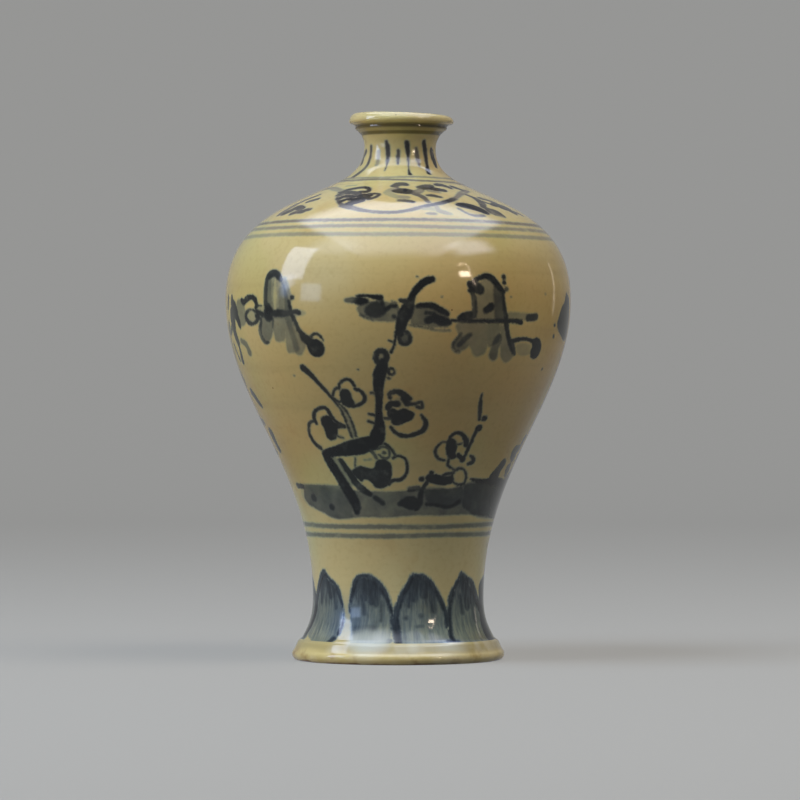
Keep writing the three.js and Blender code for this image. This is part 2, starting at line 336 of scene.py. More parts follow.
class Painting:
    """One layer of cobalt: marks on the outer face, and how they lie on a set of points."""

    def __init__(self):
        self.marks = []

    def add(self, run, half, tone, filled):
        """Adds a mark from a run of angles and heights with half widths in metres."""
        self.marks.append((run, half, tone, filled))

    def line(self, spots, widths, tone):
        """Adds a stroke through spots of angle and height, with widths in mm."""
        spots = np.asarray(spots, dtype=float)
        shares = np.linspace(0, 1, len(spots))
        widths = np.interp(shares, np.linspace(0, 1, len(widths)), widths) * MM
        run = smooth_run(np.column_stack([spots, widths]))
        self.add(run[:, :2], run[:, 2] / 2, tone, False)

    def brush(self, strokes, turn=0.0, mirror=False):
        """Adds strokes, each a tone and then spots of pixel x, y and width."""
        for tone, *spots in strokes:
            spots = np.array(spots, dtype=float)
            if len(spots) == 1:
                spots = np.concatenate([spots, spots + DOT_STEP])
            way = np.gradient(spots[:, :2], axis=0)
            side = np.stack([-way[:, 1], way[:, 0]], axis=1)
            side *= spots[:, 2:] / 2 / (np.linalg.norm(side, axis=1)[:, None] + LEAST_STEP)
            ends = [place(on_vase(spots[:, :2] + sign * side)) for sign in (-1, 1)]
            plain = spots[:, 2] * EYE_DISTANCE / FOCAL_PIXELS
            widths = np.minimum(np.linalg.norm(ends[0] - ends[1], axis=1), plain * WIDEST_SPREAD)
            middle = carried(on_vase(spots[:, :2]), turn, mirror)
            run = smooth_run(np.column_stack([middle, widths]))
            self.add(run[:, :2], np.maximum(run[:, 2], 0) / 2, tone, False)

    def fill(self, washes, turn=0.0, mirror=False):
        """Adds washes, each a tone and then spots of pixel x and y round its outline."""
        for tone, *spots in washes:
            run = smooth_run(carried(on_vase(spots), turn, mirror), closed=True)
            self.add(run, np.zeros(len(run)), tone, True)

    def lay(self, points):
        """Distance outside the nearest mark's edge and the tone there, for each point."""
        turned_by = np.arctan2(points[:, 0], -points[:, 1])
        radius = radius_at(OUTER, points[:, 2])
        on_skin = np.abs(np.hypot(points[:, 0], points[:, 1]) - radius) < SKIN
        edge = np.full(len(points), FAR)
        weight = np.full(len(points), LEAST_WEIGHT)
        shade = np.zeros(len(points))
        for run, half, tone, filled in self.marks:
            middle = (run[:, 0].min() + run[:, 0].max()) / 2
            aside = (turned_by - middle + math.pi) % (2 * math.pi) - math.pi
            reach = half.max() + FAR
            wide = (run[:, 0].max() - run[:, 0].min()) / 2
            near = on_skin & (np.abs(aside) < wide + reach / radius)
            near &= points[:, 2] > run[:, 1].min() - reach
            near &= points[:, 2] < run[:, 1].max() + reach
            near = np.nonzero(near)[0]
            if not len(near):
                continue
            gap = gap_to_run(points[near], place(run), half)
            if filled:
                local = np.column_stack([aside[near] + middle, points[near, 2]])
                gap = np.where(inside_outline(local, run), -gap, gap)
            share = np.exp(-gap / BLEND)
            weight[near] += share
            shade[near] += share * tone
            edge[near] = np.minimum(edge[near], gap)
        return edge, shade / weight


lines = Painting()
washes = Painting()
darks = Painting()


# Strokes of the painting, read off the reference. Each is a tone and then spots of x, y and width
# in pixels. Washes are a tone and then spots of x and y round their outline.

HOOP_SPOTS = 11


def hoop(tone, x, y, across, up, width):
    """A stroke round an oval, with its centre, half sizes and width in pixels."""
    turn = np.linspace(0, 2 * math.pi, HOOP_SPOTS)
    return (tone, *((x + across * math.cos(a), y + up * math.sin(a), width) for a in turn))


LEFT_CLOUD = [
    (0.7, (267, 278, 3), (265.8, 288, 3.5), (265.4, 297, 3.5), (265.6, 304, 4)),
    (0.88, (268, 278, 3.5), (270.5, 274.5, 6), (275, 273, 7), (279, 276, 6), (281, 280, 3)),
    (0.85, (292.3, 297.5, 4.5)),
    (0.85, (289, 301, 2), (290.5, 308, 3), (292.5, 315, 3.2), (295.5, 322, 3.5), (299, 330, 3.5),
     (303, 337, 4)),
    (0.95, (300.5, 332, 4), (304.5, 337.5, 7), (309.5, 342, 9)),
    (0.98, (315.6, 347.8, 16.5), (316.4, 348.2, 16.5)),
    (0.9, (310.5, 338, 3), (313, 334.8, 3), (316.5, 333.8, 2.5), (320, 335.8, 2.5),
     (323.3, 340.5, 1.5)),
    (0.95, (266.5, 305.5, 5), (268, 308, 6), (268.5, 313.5, 9), (268.5, 315.5, 8)),
    (0.9, (270, 313.5, 6.5), (276, 313.2, 6), (281, 313, 6.5)),
    (0.65, (281, 313, 6), (286, 313.5, 6), (291, 312.5, 4.5)),
    (0.9, (292, 312, 3.5), (296, 311.8, 4.5), (299, 312.5, 4.5)),
    (0.8, (257, 305.5, 2), (262, 306, 2)),
    (0.9, (256.5, 311.5, 3.5), (262.5, 314.6, 4.5)),
    (0.9, (256.5, 316, 3), (261, 319, 3)),
    (0.95, (242, 300.5, 3), (244, 302.5, 5), (247, 299, 4.5), (251, 297, 5), (255, 299.5, 4),
     (256.6, 305, 3),
     (255.5, 308, 2.5)),
    (0.9, (254.5, 310.5, 2.5), (250, 309.5, 2), (246.5, 313, 2.5), (246.5, 318.5, 2.5),
     (249.5, 322.8, 3.2),
     (254, 323.5, 3.2), (257.8, 319.5, 3.2), (258, 313, 3)),
    (0.75, (261, 322, 2), (260, 328, 2.5), (260.8, 334, 2.5), (263, 340, 2.5), (266, 343, 2.5),
     (269.5, 342.5, 2)),
]
LEFT_CLOUD_DARK = [
    (0.5, (284, 280, 5), (286.5, 290, 7), (288, 300, 7.5), (287.5, 310, 7)),
    (0.35, (269.5, 281, 4), (269, 292, 5), (269.5, 302, 6)),
    (0.25, (281, 290, 5), (281.5, 310, 5)),
    (0.22, (275, 285, 4), (275, 311, 4)),
    (0.3, (288, 318, 5), (292, 332, 5), (297, 348, 5)),
]
LEFT_CLOUD_DARK_WASH = [
    (0.6, (261.5, 316), (261, 330), (264, 340), (268, 343.5), (271.6, 338), (273, 330), (273, 316)),
    (0.35, (258, 308), (259, 318), (300, 316), (300, 310)),
]
LEFT_CLOUD_WASH = [
    (0.46, (266, 278), (270, 274), (276, 274), (274.5, 284), (273.5, 298), (273.5, 311), (266, 315)),
    (0.44, (276, 274), (281, 278), (287, 292), (291, 312), (284, 316), (277, 312), (276.5, 298),
     (276, 284)),
    (0.52, (273, 316), (273.5, 332), (276, 341), (282, 342), (286, 338), (286, 316)),
    (0.5, (286, 316), (285.4, 338), (288, 352.5), (295, 353.2), (299.1, 356), (302.6, 354.6),
     (305.3, 349.7), (306, 344), (300, 335), (295.7, 327), (292, 314)),
    (0.35, (247, 312), (252, 310), (256, 313), (255.5, 320), (251, 322), (247.5, 319)),
    (0.52, (237, 300), (244, 303), (246, 323.6), (238, 324)),
]
LEFT_EDGE = [
    (0.85, (228.5, 298, 2), (228.2, 307, 2)),
    (0.9, (232, 296.7, 1.5), (232.3, 302.9, 3), (234.4, 307.7, 4), (235.8, 314, 4)),
    (0.85, (232.3, 314, 5), (233, 320.8, 5), (234.4, 326.3, 3)),
    (0.9, (236.8, 316.7, 3), (238.5, 321.5, 3), (240.3, 327, 1.5)),
    (0.8, (229.2, 323.6, 2), (229.6, 331, 2)),
    (0.7, (232.3, 326.3, 2), (231, 333.2, 2)),
    (0.8, (234.7, 331.8, 3.5), (236.5, 337.3, 3.5), (238.5, 342.2, 2.5)),
    (0.9, (238.5, 344.2, 1.5), (240.6, 351.1, 1.5), (242.7, 360.8, 2.5)),
    (0.7, (234.4, 345, 1.5), (236.5, 351, 1.5), (240, 359.4, 1.5)),
    (0.6, (230.3, 333.2, 1.5), (232.3, 343.5, 1.5), (235, 353.9, 1.5), (237.2, 364.2, 1.5)),
    (0.6, (241.3, 340.8, 2.5), (245.4, 343.5, 3), (248.2, 348.4, 3), (249.5, 351.8, 4)),
    (0.85, (241.3, 373.5, 1.5), (244, 380, 2.5), (246.7, 387.6, 1.5)),
    (0.9, (252.1, 392.5, 3), (255.4, 397.4, 3), (261.3, 405.5, 2)),
    (0.9, (256.5, 411.5, 2), (259.7, 418, 3), (264, 422.3, 2)),
    (0.8, (257.5, 414.7, 1.5), (263, 423.4, 1.5)),
    (1, (271.6, 433.2, 4), (273.3, 437.5, 4), (276, 442.9, 3), (278.7, 448.4, 3)),
    (0.9, (270.6, 441.8, 2.5), (273.8, 447.3, 3), (276.5, 451.6, 2)),
    (0.6, (265.7, 433.2, 2)),
    (0.6, (277, 452.7, 2)),
]
TRUNK = [
    (1, (432.5, 279, 6.5), (428, 280.3, 7.5), (422.5, 283.5, 8), (417.5, 288.5, 7.5), (413.5, 294, 7),
     (411, 300, 8), (408.5, 307, 12), (405, 314, 13.5), (402.5, 320, 12), (401, 326, 11),
     (399.5, 333, 9)),
    (0.9, (400.5, 300.5, 4), (406, 301, 5)),
    (1, (396.5, 332, 3.5), (395, 341, 3), (393.5, 347, 3), (391, 352, 3)),
    hoop(0.9, 404.8, 338, 6, 6.5, 3.5),
    (0.9, (389, 340.5, 2), (393, 342, 2)),
    hoop(0.92, 381.3, 357, 5.8, 6.3, 5.5),
    (1, (383.5, 362.5, 9), (381.5, 369, 13), (379.5, 376, 13), (378.6, 384, 11), (378.8, 393, 9),
     (379.2, 403, 7), (378.8, 412, 7), (379.3, 421, 9), (379, 430, 13), (376.5, 439, 16)),
    (1, (372, 443, 15), (361, 446, 16.5), (350, 448.5, 15), (338, 451, 11), (327, 453.5, 9)),
    hoop(0.95, 391.5, 371.5, 3, 3, 3),
    (0.95, (389, 378.4, 3.5)),
    (0.9, (369.6, 414.1, 3), (374.7, 415.1, 3)),
    (0.9, (368.6, 421.2, 3), (374.7, 423.3, 3)),
    (0.8, (371, 393, 3), (375, 393.5, 3)),
    (1, (325.5, 454, 6), (330.5, 463, 8), (338, 474.6, 8), (345, 486, 9), (352.5, 497.7, 9.5),
     (356.5, 506, 8), (357, 512, 5)),
    (0.95, (341, 460, 4), (345.5, 467, 5), (351, 475, 6), (357.5, 484.5, 6), (364, 490, 6),
     (370, 494, 4)),
]
CENTRE_CLOUD = [
    (0.7, (346.3, 300.2, 4.5), (350.5, 300.2, 6), (354.7, 300.2, 6)),
    (1, (354.7, 300.9, 5), (359.6, 300.9, 8), (366.7, 300.9, 5)),
    (1, (356.8, 296, 2.5), (363.2, 295.6, 2.5), (370.2, 296, 3), (376.5, 297.4, 5), (380.7, 298.1, 6)),
    (0.85, (382.1, 300.9, 3.5), (382.8, 303.7, 3.5)),
    (1, (385.6, 309.3, 4), (390.5, 306.5, 3), (396.1, 305.8, 3)),
    (0.5, (360.4, 314.9, 2), (366, 318.4, 2), (373, 320.5, 2)),
    (0.6, (391.9, 300.9, 2), (396.1, 303, 2)),
    (0.85, (394, 316.3, 4)),
    (0.6, (410.2, 325.4, 2), (424.2, 327.5, 2), (438.2, 330.4, 2), (450, 330.4, 2)),
    (1, (417.2, 305.8, 4), (424.2, 305.1, 5), (433.3, 305.8, 6), (439.6, 309.3, 6), (447.4, 313.5, 5)),
    (0.9, (426.3, 312.8, 3), (434.7, 313.5, 3)),
    (1, (427.7, 320.5, 6), (434.7, 318.4, 8), (441.8, 321, 9), (449.8, 322.4, 5)),
    (0.8, (417.2, 276.7, 1.5)),
    (0.8, (441.8, 296.7, 1.5)),
]
CENTRE_CLOUD_DARK_WASH = [
    (0.82, (364.6, 310), (368.1, 305.1), (375.1, 301.6), (382.1, 303), (384.9, 307.2), (385.6, 312.1),
     (382.1, 315.6), (375.1, 317.7), (368.1, 315.6)),
]
CENTRE_CLOUD_WASH = [
    (0.6, (357.5, 305.8), (359.6, 314.9), (366, 318.4), (373.7, 321.2), (383.5, 321.9), (394.7, 321.9),
     (398.9, 314.9), (397.5, 304.4), (376, 300)),
    (0.6, (412, 307), (424, 305), (438, 307), (447, 312), (450, 326), (436, 328), (422, 326),
     (411, 324)),
    (0.4, (376, 352), (386, 351), (387.5, 360), (381, 364), (375.5, 360)),
]
RIGHT_CLOUD = [
    (1, (470, 284, 6), (474.5, 287, 11), (480, 289.5, 9)),
    (1, (469.5, 290.5, 4), (473, 291.5, 6)),
    (1, (474.8, 281, 5), (479.4, 278, 5), (485.9, 276, 6), (491.4, 278, 6), (495.5, 282.5, 5.5),
     (500, 287.5, 5.5), (503.5, 292, 4)),
    (0.95, (502.5, 292.8, 3), (503.9, 300.2, 3), (504.8, 307.6, 3), (505.8, 315, 3.5),
     (506.2, 322.4, 4.5),
     (507.2, 329.8, 3.5), (509, 339, 4), (511.8, 348.3, 3), (513.6, 352.9, 2.5)),
    (0.95, (503.5, 277, 5)),
    (0.95, (503.9, 282.6, 4.5)),
    (0.7, (506.2, 289.1, 5)),
    (0.75, (473, 293, 5), (474, 302, 5), (474.5, 310, 5), (474, 316, 5)),
    (1, (486.3, 310, 6), (491, 307, 7)),
    (1, (460, 318, 6), (466, 316.5, 9), (471.5, 315, 8)),
    (1, (451.7, 320.5, 3), (462.8, 321, 3), (476.6, 321, 3), (490.5, 321, 3), (505.3, 321, 4),
     (513.6, 321, 4), (521, 322.4, 5)),
    (0.85, (528.4, 317.7, 7), (535.8, 316.8, 7)),
    (0.6, (461, 334, 2.5), (455.4, 340, 2.5), (452.5, 345, 2.5), (454, 351, 2.5), (459.1, 352.5, 2.5)),
    (0.6, (459, 345, 4), (465, 339, 5), (470, 335, 4)),
    (1, (510.9, 341.8, 3.5), (516.4, 339.9, 4), (523.8, 339, 3.5), (532.1, 340.9, 4), (536, 344, 8),
     (536, 350, 9), (533, 354, 5)),
    (0.85, (510.9, 342.7, 6), (512.7, 348.3, 5), (514.6, 353.8, 3)),
    (0.9, (554.3, 325.1, 3)),
    (0.9, (553.4, 336.2, 3)),
    (0.8, (545.1, 294.1, 1.5)),
    (0.8, (541.8, 369.1, 1.5)),
    (0.8, (510.9, 296.9, 1.5)),
]
RIGHT_CLOUD_DARK_WASH = [
    (0.5, (494, 284), (502, 292), (504, 320), (495, 320)),
    (0.62, (499.8, 333.5), (494.2, 339), (490.5, 348.3), (488.7, 355.7), (492.4, 361.2), (497, 357.5),
     (498.8, 348.3), (501.6, 339)),
    (0.95, (566.4, 292.8), (564.5, 302), (561.7, 307.6), (559, 316.8), (557.1, 325.1), (559.9, 333.5),
     (563.6, 340.9), (566.5, 336), (568, 325), (569, 312), (569, 300)),
]
RIGHT_CLOUD_WASH = [
    (0.45, (508, 312), (528, 313), (535, 314), (535, 320), (520, 321), (508, 320.5)),
    (0.5, (475.7, 290), (479, 283), (485, 279), (493, 281.7), (500, 290), (504, 305), (504.4, 320.5),
     (490, 320.5), (475.7, 320.5)),
    (0.58, (461.8, 333), (455.4, 339), (452.5, 345), (455, 351.5), (462, 351), (470, 345), (471, 336)),
    (0.48, (457, 323), (487, 323), (487, 348), (481, 356), (474, 356), (470, 348), (460, 338)),
    (0.5, (499.8, 324), (507, 330), (512.7, 350), (512, 358), (505, 363), (500, 356), (500, 338)),
    (0.5, (487, 323), (500, 324), (500, 340), (494, 345), (487, 346)),
    (0.32, (517, 344), (530, 344), (530, 354), (518, 355)),
]
SIDE_BRANCH = [
    (0.95, (303, 367.8, 5.5), (307.5, 371.5, 5), (313, 377, 4.5), (319, 383.5, 3.5), (326, 391, 3),
     (332.5, 398.5, 2.5), (337.5, 405, 2.5)),
    (0.85, (338, 405, 2.5), (341.5, 411, 2), (345.5, 420, 2), (349, 429, 2), (351.8, 437, 2)),
    (0.8, (339, 404, 2), (345, 409, 2.2), (350, 417, 2), (354, 427, 2), (356.5, 436.5, 2)),
    (0.8, (357.9, 369.7, 1.5)),
    (0.8, (294, 375.8, 1.5)),
]
UPPER_BLOSSOM = [
    (0.95, (339, 388.6, 3), (340, 383.5, 3), (345.1, 379.4, 3), (350.2, 380.4, 3), (354.3, 385.5, 3)),
    (0.95, (355.3, 388.6, 3), (361.4, 391.6, 3.5), (365, 397.8, 4), (362.4, 402.9, 4),
     (355.3, 405.9, 3.5),
     (349.2, 405.9, 3)),
    (0.9, (332.9, 395.7, 3), (334.9, 389.6, 3), (339, 387.6, 3)),
    (0.9, (333.9, 398.8, 3), (339, 401.8, 3), (342, 400.8, 3)),
]
LEFT_BLOSSOM = [
    (0.95, (316.5, 423.3, 3), (314, 417.1, 3.5), (315.5, 411, 3.5), (320.6, 408, 3.5), (325.7, 408, 3),
     (329.8, 413.1, 3.5), (332.9, 418.2, 3), (336.9, 422.2, 3), (344.1, 426.3, 4)),
    (0.95, (315.5, 421.2, 3), (310.4, 422.2, 3), (308.9, 427.3, 2.5), (310.4, 435.5, 2.5),
     (315.5, 443.7, 3),
     (320.6, 447.8, 4)),
    (0.95, (335.9, 426.3, 2), (344.1, 427.3, 2)),
    (0.8, (338, 436.5, 2.5), (343, 437.6, 2.5)),
]
ROOT_BLOSSOM = [
    (0.8, (355.3, 458, 2), (355.3, 466, 2)),
    (0.5, (364.5, 460, 2), (370.6, 459.5, 2)),
    (0.75, (377.8, 448.8, 2.5), (383.9, 446.7, 2.5), (389, 449.8, 2.5), (389, 456.9, 2.5),
     (383.9, 458, 2.5),
     (378.8, 454.9, 2.5)),
    (0.75, (383.9, 452.9, 4)),
    (0.9, (384.9, 443.7, 3), (391, 448.8, 3), (395.1, 454.9, 3)),
    (0.7, (370.6, 449.8, 3.5), (374.7, 454.9, 3.5), (376.7, 458, 3.5)),
    (0.95, (393.1, 458, 3), (399.2, 455.9, 2.5), (405.3, 459, 2.5), (407.3, 466.1, 3),
     (406.3, 473.3, 3),
     (401.2, 479.4, 3.5), (393.1, 480.4, 4), (389, 483.5, 5)),
]
HEARTS = [
    (0.95, (339.5, 392), (343, 389), (348, 389.5), (351, 393), (352, 398), (354.5, 403), (352.5, 406.5),
     (347.5, 407), (342.5, 404.5), (340.5, 399)),
    (0.98, (321, 418), (326, 415.5), (331, 417), (334, 422), (340, 424.5), (345, 427.5), (338, 429),
     (338, 434), (336, 439), (331, 440.5), (327, 437), (324.5, 429), (321.5, 423.5)),
    (0.98, (388, 411), (393, 408.5), (398, 410.5), (404, 408), (410, 410.5), (414.5, 414), (411.5, 420),
     (406, 422.5), (399, 425), (393, 424.5), (391, 420), (387.5, 416)),
    (0.95, (447, 441), (451, 438.5), (455.5, 440.5), (457, 446), (456, 452), (456.5, 457),
     (451.5, 459.5),
     (447, 456), (446, 449)),
    (0.95, (352.2, 471.2), (359.4, 466.1), (369.6, 468.2), (374.7, 467.1), (376.7, 461), (383.9, 459),
     (391, 464.1), (392, 474.3), (390, 482.4), (384.9, 487.6), (375.7, 487.6), (371.6, 482.4),
     (365.5, 479.4), (361.4, 481.4), (356.3, 477.3)),
]
STEM_WASH = [
    (0.42, (340, 406), (346, 411), (351, 420), (354.5, 430), (356, 437), (352, 437), (348.5, 428),
     (344.5, 418), (340.5, 410)),
    (0.45, (331, 457), (338, 459), (343, 466), (349, 476), (354, 485), (350, 487), (344, 479),
     (337, 468)),
    (0.7, (399.5, 338), (402, 333.5), (407, 333), (410.5, 338), (408, 343), (402, 343.5)),
    (0.62, (376, 357), (379, 351.5), (384, 351.5), (387, 357), (384, 363), (379, 363)),
    (0.3, (394, 399), (400, 396.5), (406, 399), (407, 405), (400, 408), (394, 406)),
]
MIDDLE_BLOSSOM = [
    (0.95, (390, 397.8, 4), (390, 393.7, 5), (396.1, 391.6, 5), (402.2, 393.7, 6), (409.8, 398.8, 5)),
    (0.95, (403.6, 397.9, 6), (408, 404, 6)),
    (0.95, (388, 408, 6), (391, 403.9, 6), (397.1, 403.9, 6)),
    (0.85, (408.9, 404, 4), (414.3, 404, 3.5), (421.4, 402.3, 3), (421.9, 407.7, 3.5), (417, 406.8, 3)),
    (0.8, (384.9, 418.2, 3), (391, 418.7, 3)),
    (0.95, (391, 427.3, 3.5), (395.1, 432.4, 3.5), (402.2, 435.5, 4), (410.4, 435.5, 4),
     (422.3, 430.9, 5),
     (425.9, 422.9, 5), (421.4, 414.8, 2.5)),
]
RIGHT_TWIG = [
    (0.9, (482.1, 393.4, 1.5), (480.8, 399.6, 3), (480.4, 406.8, 4), (479.9, 413, 4),
     (479.5, 419.3, 2.5)),
    (1, (483.9, 418.4, 5.5)),
    (1, (478.6, 428.2, 6.5)),
    (0.95, (477.7, 428.2, 3), (474.1, 435.4, 3), (471.4, 441.6, 3), (467.9, 448.8, 3), (465.2, 455, 3),
     (462.5, 459.5, 5)),
    (0.9, (470.5, 455.9, 3), (473.2, 458.6, 4), (472.3, 462.1, 3.5), (467.9, 463.9, 2.5)),
]
RIGHT_BLOSSOM = [
    (0.95, (449.6, 441.6, 3), (450.9, 436.3, 2.5), (457.1, 432.7, 3), (462.5, 434.5, 4),
     (466.1, 440.7, 6),
     (466.1, 444.3, 5)),
    (0.95, (453.6, 442.5, 2), (458, 444.3, 2), (461.6, 443.4, 2)),
    (0.9, (448.2, 442.5, 2), (442, 442.5, 2), (436.6, 447.9, 3), (435.3, 453.2, 3.5), (438.4, 458.6, 3),
     (444.6, 460.4, 2.5)),
    (0.95, (458, 455, 5), (462.5, 458.6, 5)),
    (0.9, (448.7, 459.5, 3), (447.8, 464.8, 3), (451.8, 468.4, 2.5), (457.1, 470.2, 2)),
    (0.85, (453.6, 471.1, 2.5), (458.9, 468.4, 2.5), (464.3, 470.2, 2.5), (466.1, 476.4, 2.5),
     (464.3, 482.7, 2.5), (458.9, 484.5, 2.5), (453.6, 482.7, 2.5), (451.8, 477.3, 2.5),
     (453.6, 471.1, 2.5)),
]
GROUND = [
    (0.85, (297.5, 485.5, 3), (303, 486.5, 3)),
    (0.75, (313.5, 497.8, 6)),
    (0.85, (331.8, 507, 5)),
    (0.85, (375.7, 498, 4), (382.8, 502.8, 4)),
    (0.95, (431.3, 472.9, 4.5)),
    (0.95, (421.4, 479.1, 5)),
    (0.9, (442.9, 475.5, 3), (447.3, 473.8, 3), (453.6, 472.9, 3)),
    (0.95, (429.5, 478.2, 8), (435.7, 479.1, 10), (442.9, 480.9, 9), (450, 480, 8)),
    (0.9, (426.8, 482.7, 4), (422.3, 488.9, 4), (420.5, 496.1, 5), (419.6, 502.3, 6),
     (416.1, 507.7, 6)),
    (0.75, (409.8, 488.9, 5), (418.8, 488, 5)),
    (0.9, (400, 504.1, 4), (405.4, 502.3, 9), (411.6, 503, 13), (416.1, 505, 9)),
    (0.85, (426.8, 504.1, 3), (435.7, 505, 3), (444.6, 506.8, 3), (451.8, 505.9, 3), (458.9, 501.4, 3)),
    (1, (470.5, 479.1, 2), (476.8, 480.4, 4), (484.8, 480.9, 4), (493.8, 480.9, 6), (502.7, 482.7, 6)),
    (0.95, (502.7, 463.9, 4.5), (498.2, 470.2, 5), (493.8, 477.3, 8)),
    (0.95, (528.6, 437.1, 3), (523.2, 447.9, 5), (517, 458.6, 6), (512.5, 469.3, 6), (507.1, 479.1, 6),
     (502.7, 487.1, 5), (499.1, 497.9, 4)),
    (0.9, (524.1, 438.9, 3), (519.6, 447, 2.5), (514.3, 451.4, 4), (513.4, 456.8, 4)),
    (0.9, (508, 468.4, 4), (506.3, 472.9, 3)),
]
GROUND_WASH = [
    (0.63, (298, 484), (303.3, 488.6), (304.3, 496.7), (308.4, 503.9), (314.5, 508), (323.7, 513.1),
     (330.8, 517.1), (341, 519.2), (365, 517.5), (390, 518), (415, 516), (440, 516), (470, 515),
     (496, 517.5), (505, 500), (512, 482), (480, 482), (450, 488), (425, 489), (390, 491), (356, 490),
     (338, 485.5), (320, 484)),
]
GROUND_DARK_WASH = [
    (0.45, (425, 488), (437, 487), (450, 489), (462, 487), (463, 500), (455, 506), (440, 506),
     (428, 503)),
    (0.55, (466, 482.7), (480, 481), (500, 483), (508, 484), (504, 500), (495.5, 517.5), (478.6, 517.5),
     (469.6, 512.1), (462.5, 505), (463, 494)),
    (0.3, (305, 497), (315, 503), (330, 511), (350, 513), (352, 518), (335, 518.5), (318, 510),
     (306, 503)),
    (0.22, (302, 488), (330, 487), (350, 498), (350, 516), (330, 515), (306, 503)),
]

FIRST_PETAL_EDGE = [
    (0.85, (311.4, 572.6, 1), (313.2, 581, 1.5), (314.6, 589.5, 2), (316.3, 600, 2.5), (316, 609, 3),
     (313.9, 617.5, 3), (309.6, 627.4, 3), (305.4, 634.4, 3)),
]
SECOND_PETAL = [
    (0.85, (324.4, 570.9, 3), (321.6, 576.8, 4), (319.5, 584.6, 3), (318, 591.6, 2.5),
     (316.7, 600, 2.5)),
    (0.85, (325.8, 574, 3), (329.3, 578.9, 3.5), (334.9, 584.6, 4), (338.4, 590.9, 4),
     (340.5, 596.5, 3),
     (341.9, 601.4, 2), (344, 612, 1.5), (343, 622, 2.5), (341.9, 627.4, 3), (339, 633.7, 3)),
]
SECOND_PETAL_STREAKS = [
    (0.51, (327.9, 580.4, 3.4), (329.3, 589.5, 3.4), (330.7, 596.5, 3.4)),
    (0.43, (333.5, 586.7, 2.9), (334.9, 595, 2.9), (336.3, 607.7, 2.3)),
    (0.37, (323.7, 581, 2.3), (323, 591.6, 2.3), (321.9, 602, 2.3)),
]
SECOND_PETAL_FOOT = [(0.7, (333.5, 638.6, 4), (327.9, 645.6, 4))]
SECOND_PETAL_WASH = [
    (0.6, (324.4, 573), (320, 585), (317.5, 600), (315, 612), (312, 622), (308, 637), (333, 643),
     (340, 627), (343, 612), (341, 600), (336, 588), (328, 579)),
]
THIRD_PETAL = [
    (0.85, (365.8, 575.8, 5), (360.2, 576.5, 5), (355.3, 581, 5), (353.2, 590.2, 5), (351, 597.9, 3),
     (349.6, 604.9, 2), (349.6, 612, 2)),
    (0.85, (365.8, 575.8, 5), (372.8, 579.6, 7), (379.1, 585.3, 8), (384.7, 592.3, 6), (388.2, 600, 4),
     (391, 608.4, 4), (392.5, 616, 3), (392.5, 623.2, 3)),
    (0.8, (391, 640.7, 4), (384.7, 645.6, 4)),
]
THIRD_PETAL_STREAKS = [
    (0.49, (364.4, 579, 4.6), (365, 599, 4.6)),
    (0.49, (370.7, 581, 6.9), (372, 602, 6.9)),
    (0.49, (377.7, 586.7, 6.9), (376.3, 603.5, 6.9)),
    (0.37, (381.2, 602, 2.9), (381.2, 620.4, 2.9)),
    (0.4, (362.3, 596.5, 3.4), (364.4, 613.3, 3.4)),
    (0.43, (373.2, 628, 5.8)),
    (0.2, (351.7, 628, 4), (372.8, 627.4, 4)),
]
THIRD_PETAL_WASH = [
    (0.6, (362, 577), (355.3, 583), (351.5, 598), (350, 612), (350.5, 628), (354, 645), (386, 648),
     (392, 628), (391.5, 612), (387, 598), (379, 586), (370, 579)),
]
FOURTH_PETAL = [
    (0.85, (413.2, 574, 3), (411.1, 579.6, 6), (407.6, 586, 6), (403.4, 593.7, 6), (400.6, 599.3, 6),
     (397.8, 607.7, 6), (395.7, 616, 6), (395.5, 623.2, 8), (396.4, 633.7, 9), (398.5, 645.5, 8)),
    (0.85, (414.6, 574.7, 3), (423, 577.5, 6), (430, 582.5, 6), (435.7, 590.2, 5), (440.6, 599.3, 5),
     (444.1, 607.7, 4), (446.9, 616, 4), (447.3, 626.7, 3)),
]
FOURTH_PETAL_STREAKS = [
    (0.49, (416, 581, 5.8), (414, 599.3, 5.8)),
    (0.43, (424.5, 584.6, 8), (424.5, 595, 8)),
    (0.43, (431.5, 589.5, 5.8), (433.6, 610.5, 5.8)),
    (0.43, (409.7, 593.7, 3.4), (409, 606.3, 3.4)),
    (0.43, (405.5, 618.2, 3.4)),
    (0.37, (421, 616, 4)),
    (0.37, (416.8, 626.7, 1.7), (423, 626, 1.7)),
]
FOURTH_PETAL_WASH = [
    (0.6, (413.2, 576), (404, 594), (398, 610), (396, 625), (399, 648), (445, 647), (447.5, 630),
     (446, 614), (439, 598), (430, 584), (421, 578)),
]
FIFTH_PETAL = [
    (0.85, (461.3, 573.3, 3), (458.2, 579.6, 3), (453.9, 588, 3), (451.1, 596.5, 5), (449.7, 605.6, 4),
     (449, 616, 4), (449.7, 626.7, 4), (451.1, 635.8, 4), (454.6, 643.5, 4)),
    (0.85, (462.4, 574, 4), (465.9, 578.2, 5), (471.5, 585.3, 6), (474.3, 593.7, 5), (477.1, 602, 4),
     (479.9, 609, 3), (481.3, 616, 3), (484, 626.7, 4), (488.3, 635.8, 5), (491.1, 642.8, 5)),
    (0.7, (448.3, 642.8, 5), (458, 643.5, 5)),
]
FIFTH_PETAL_STREAKS = [
    (0.51, (462.4, 577.5, 5.8), (465, 590, 5.8), (467.3, 605, 5.8)),
    (0.49, (469.4, 586.7, 5.8), (470.8, 599.3, 5.8)),
    (0.46, (460.3, 596.5, 3.4), (462.4, 612, 3.4)),
    (0.43, (472.2, 599.3, 2.9), (475, 619.6, 2.9)),
]
FIFTH_PETAL_WASH = [
    (0.6, (461.3, 575), (454, 590), (450, 606), (449.5, 625), (452, 647), (490, 645.5), (484, 628),
     (480, 610), (474, 594), (466, 580)),
]
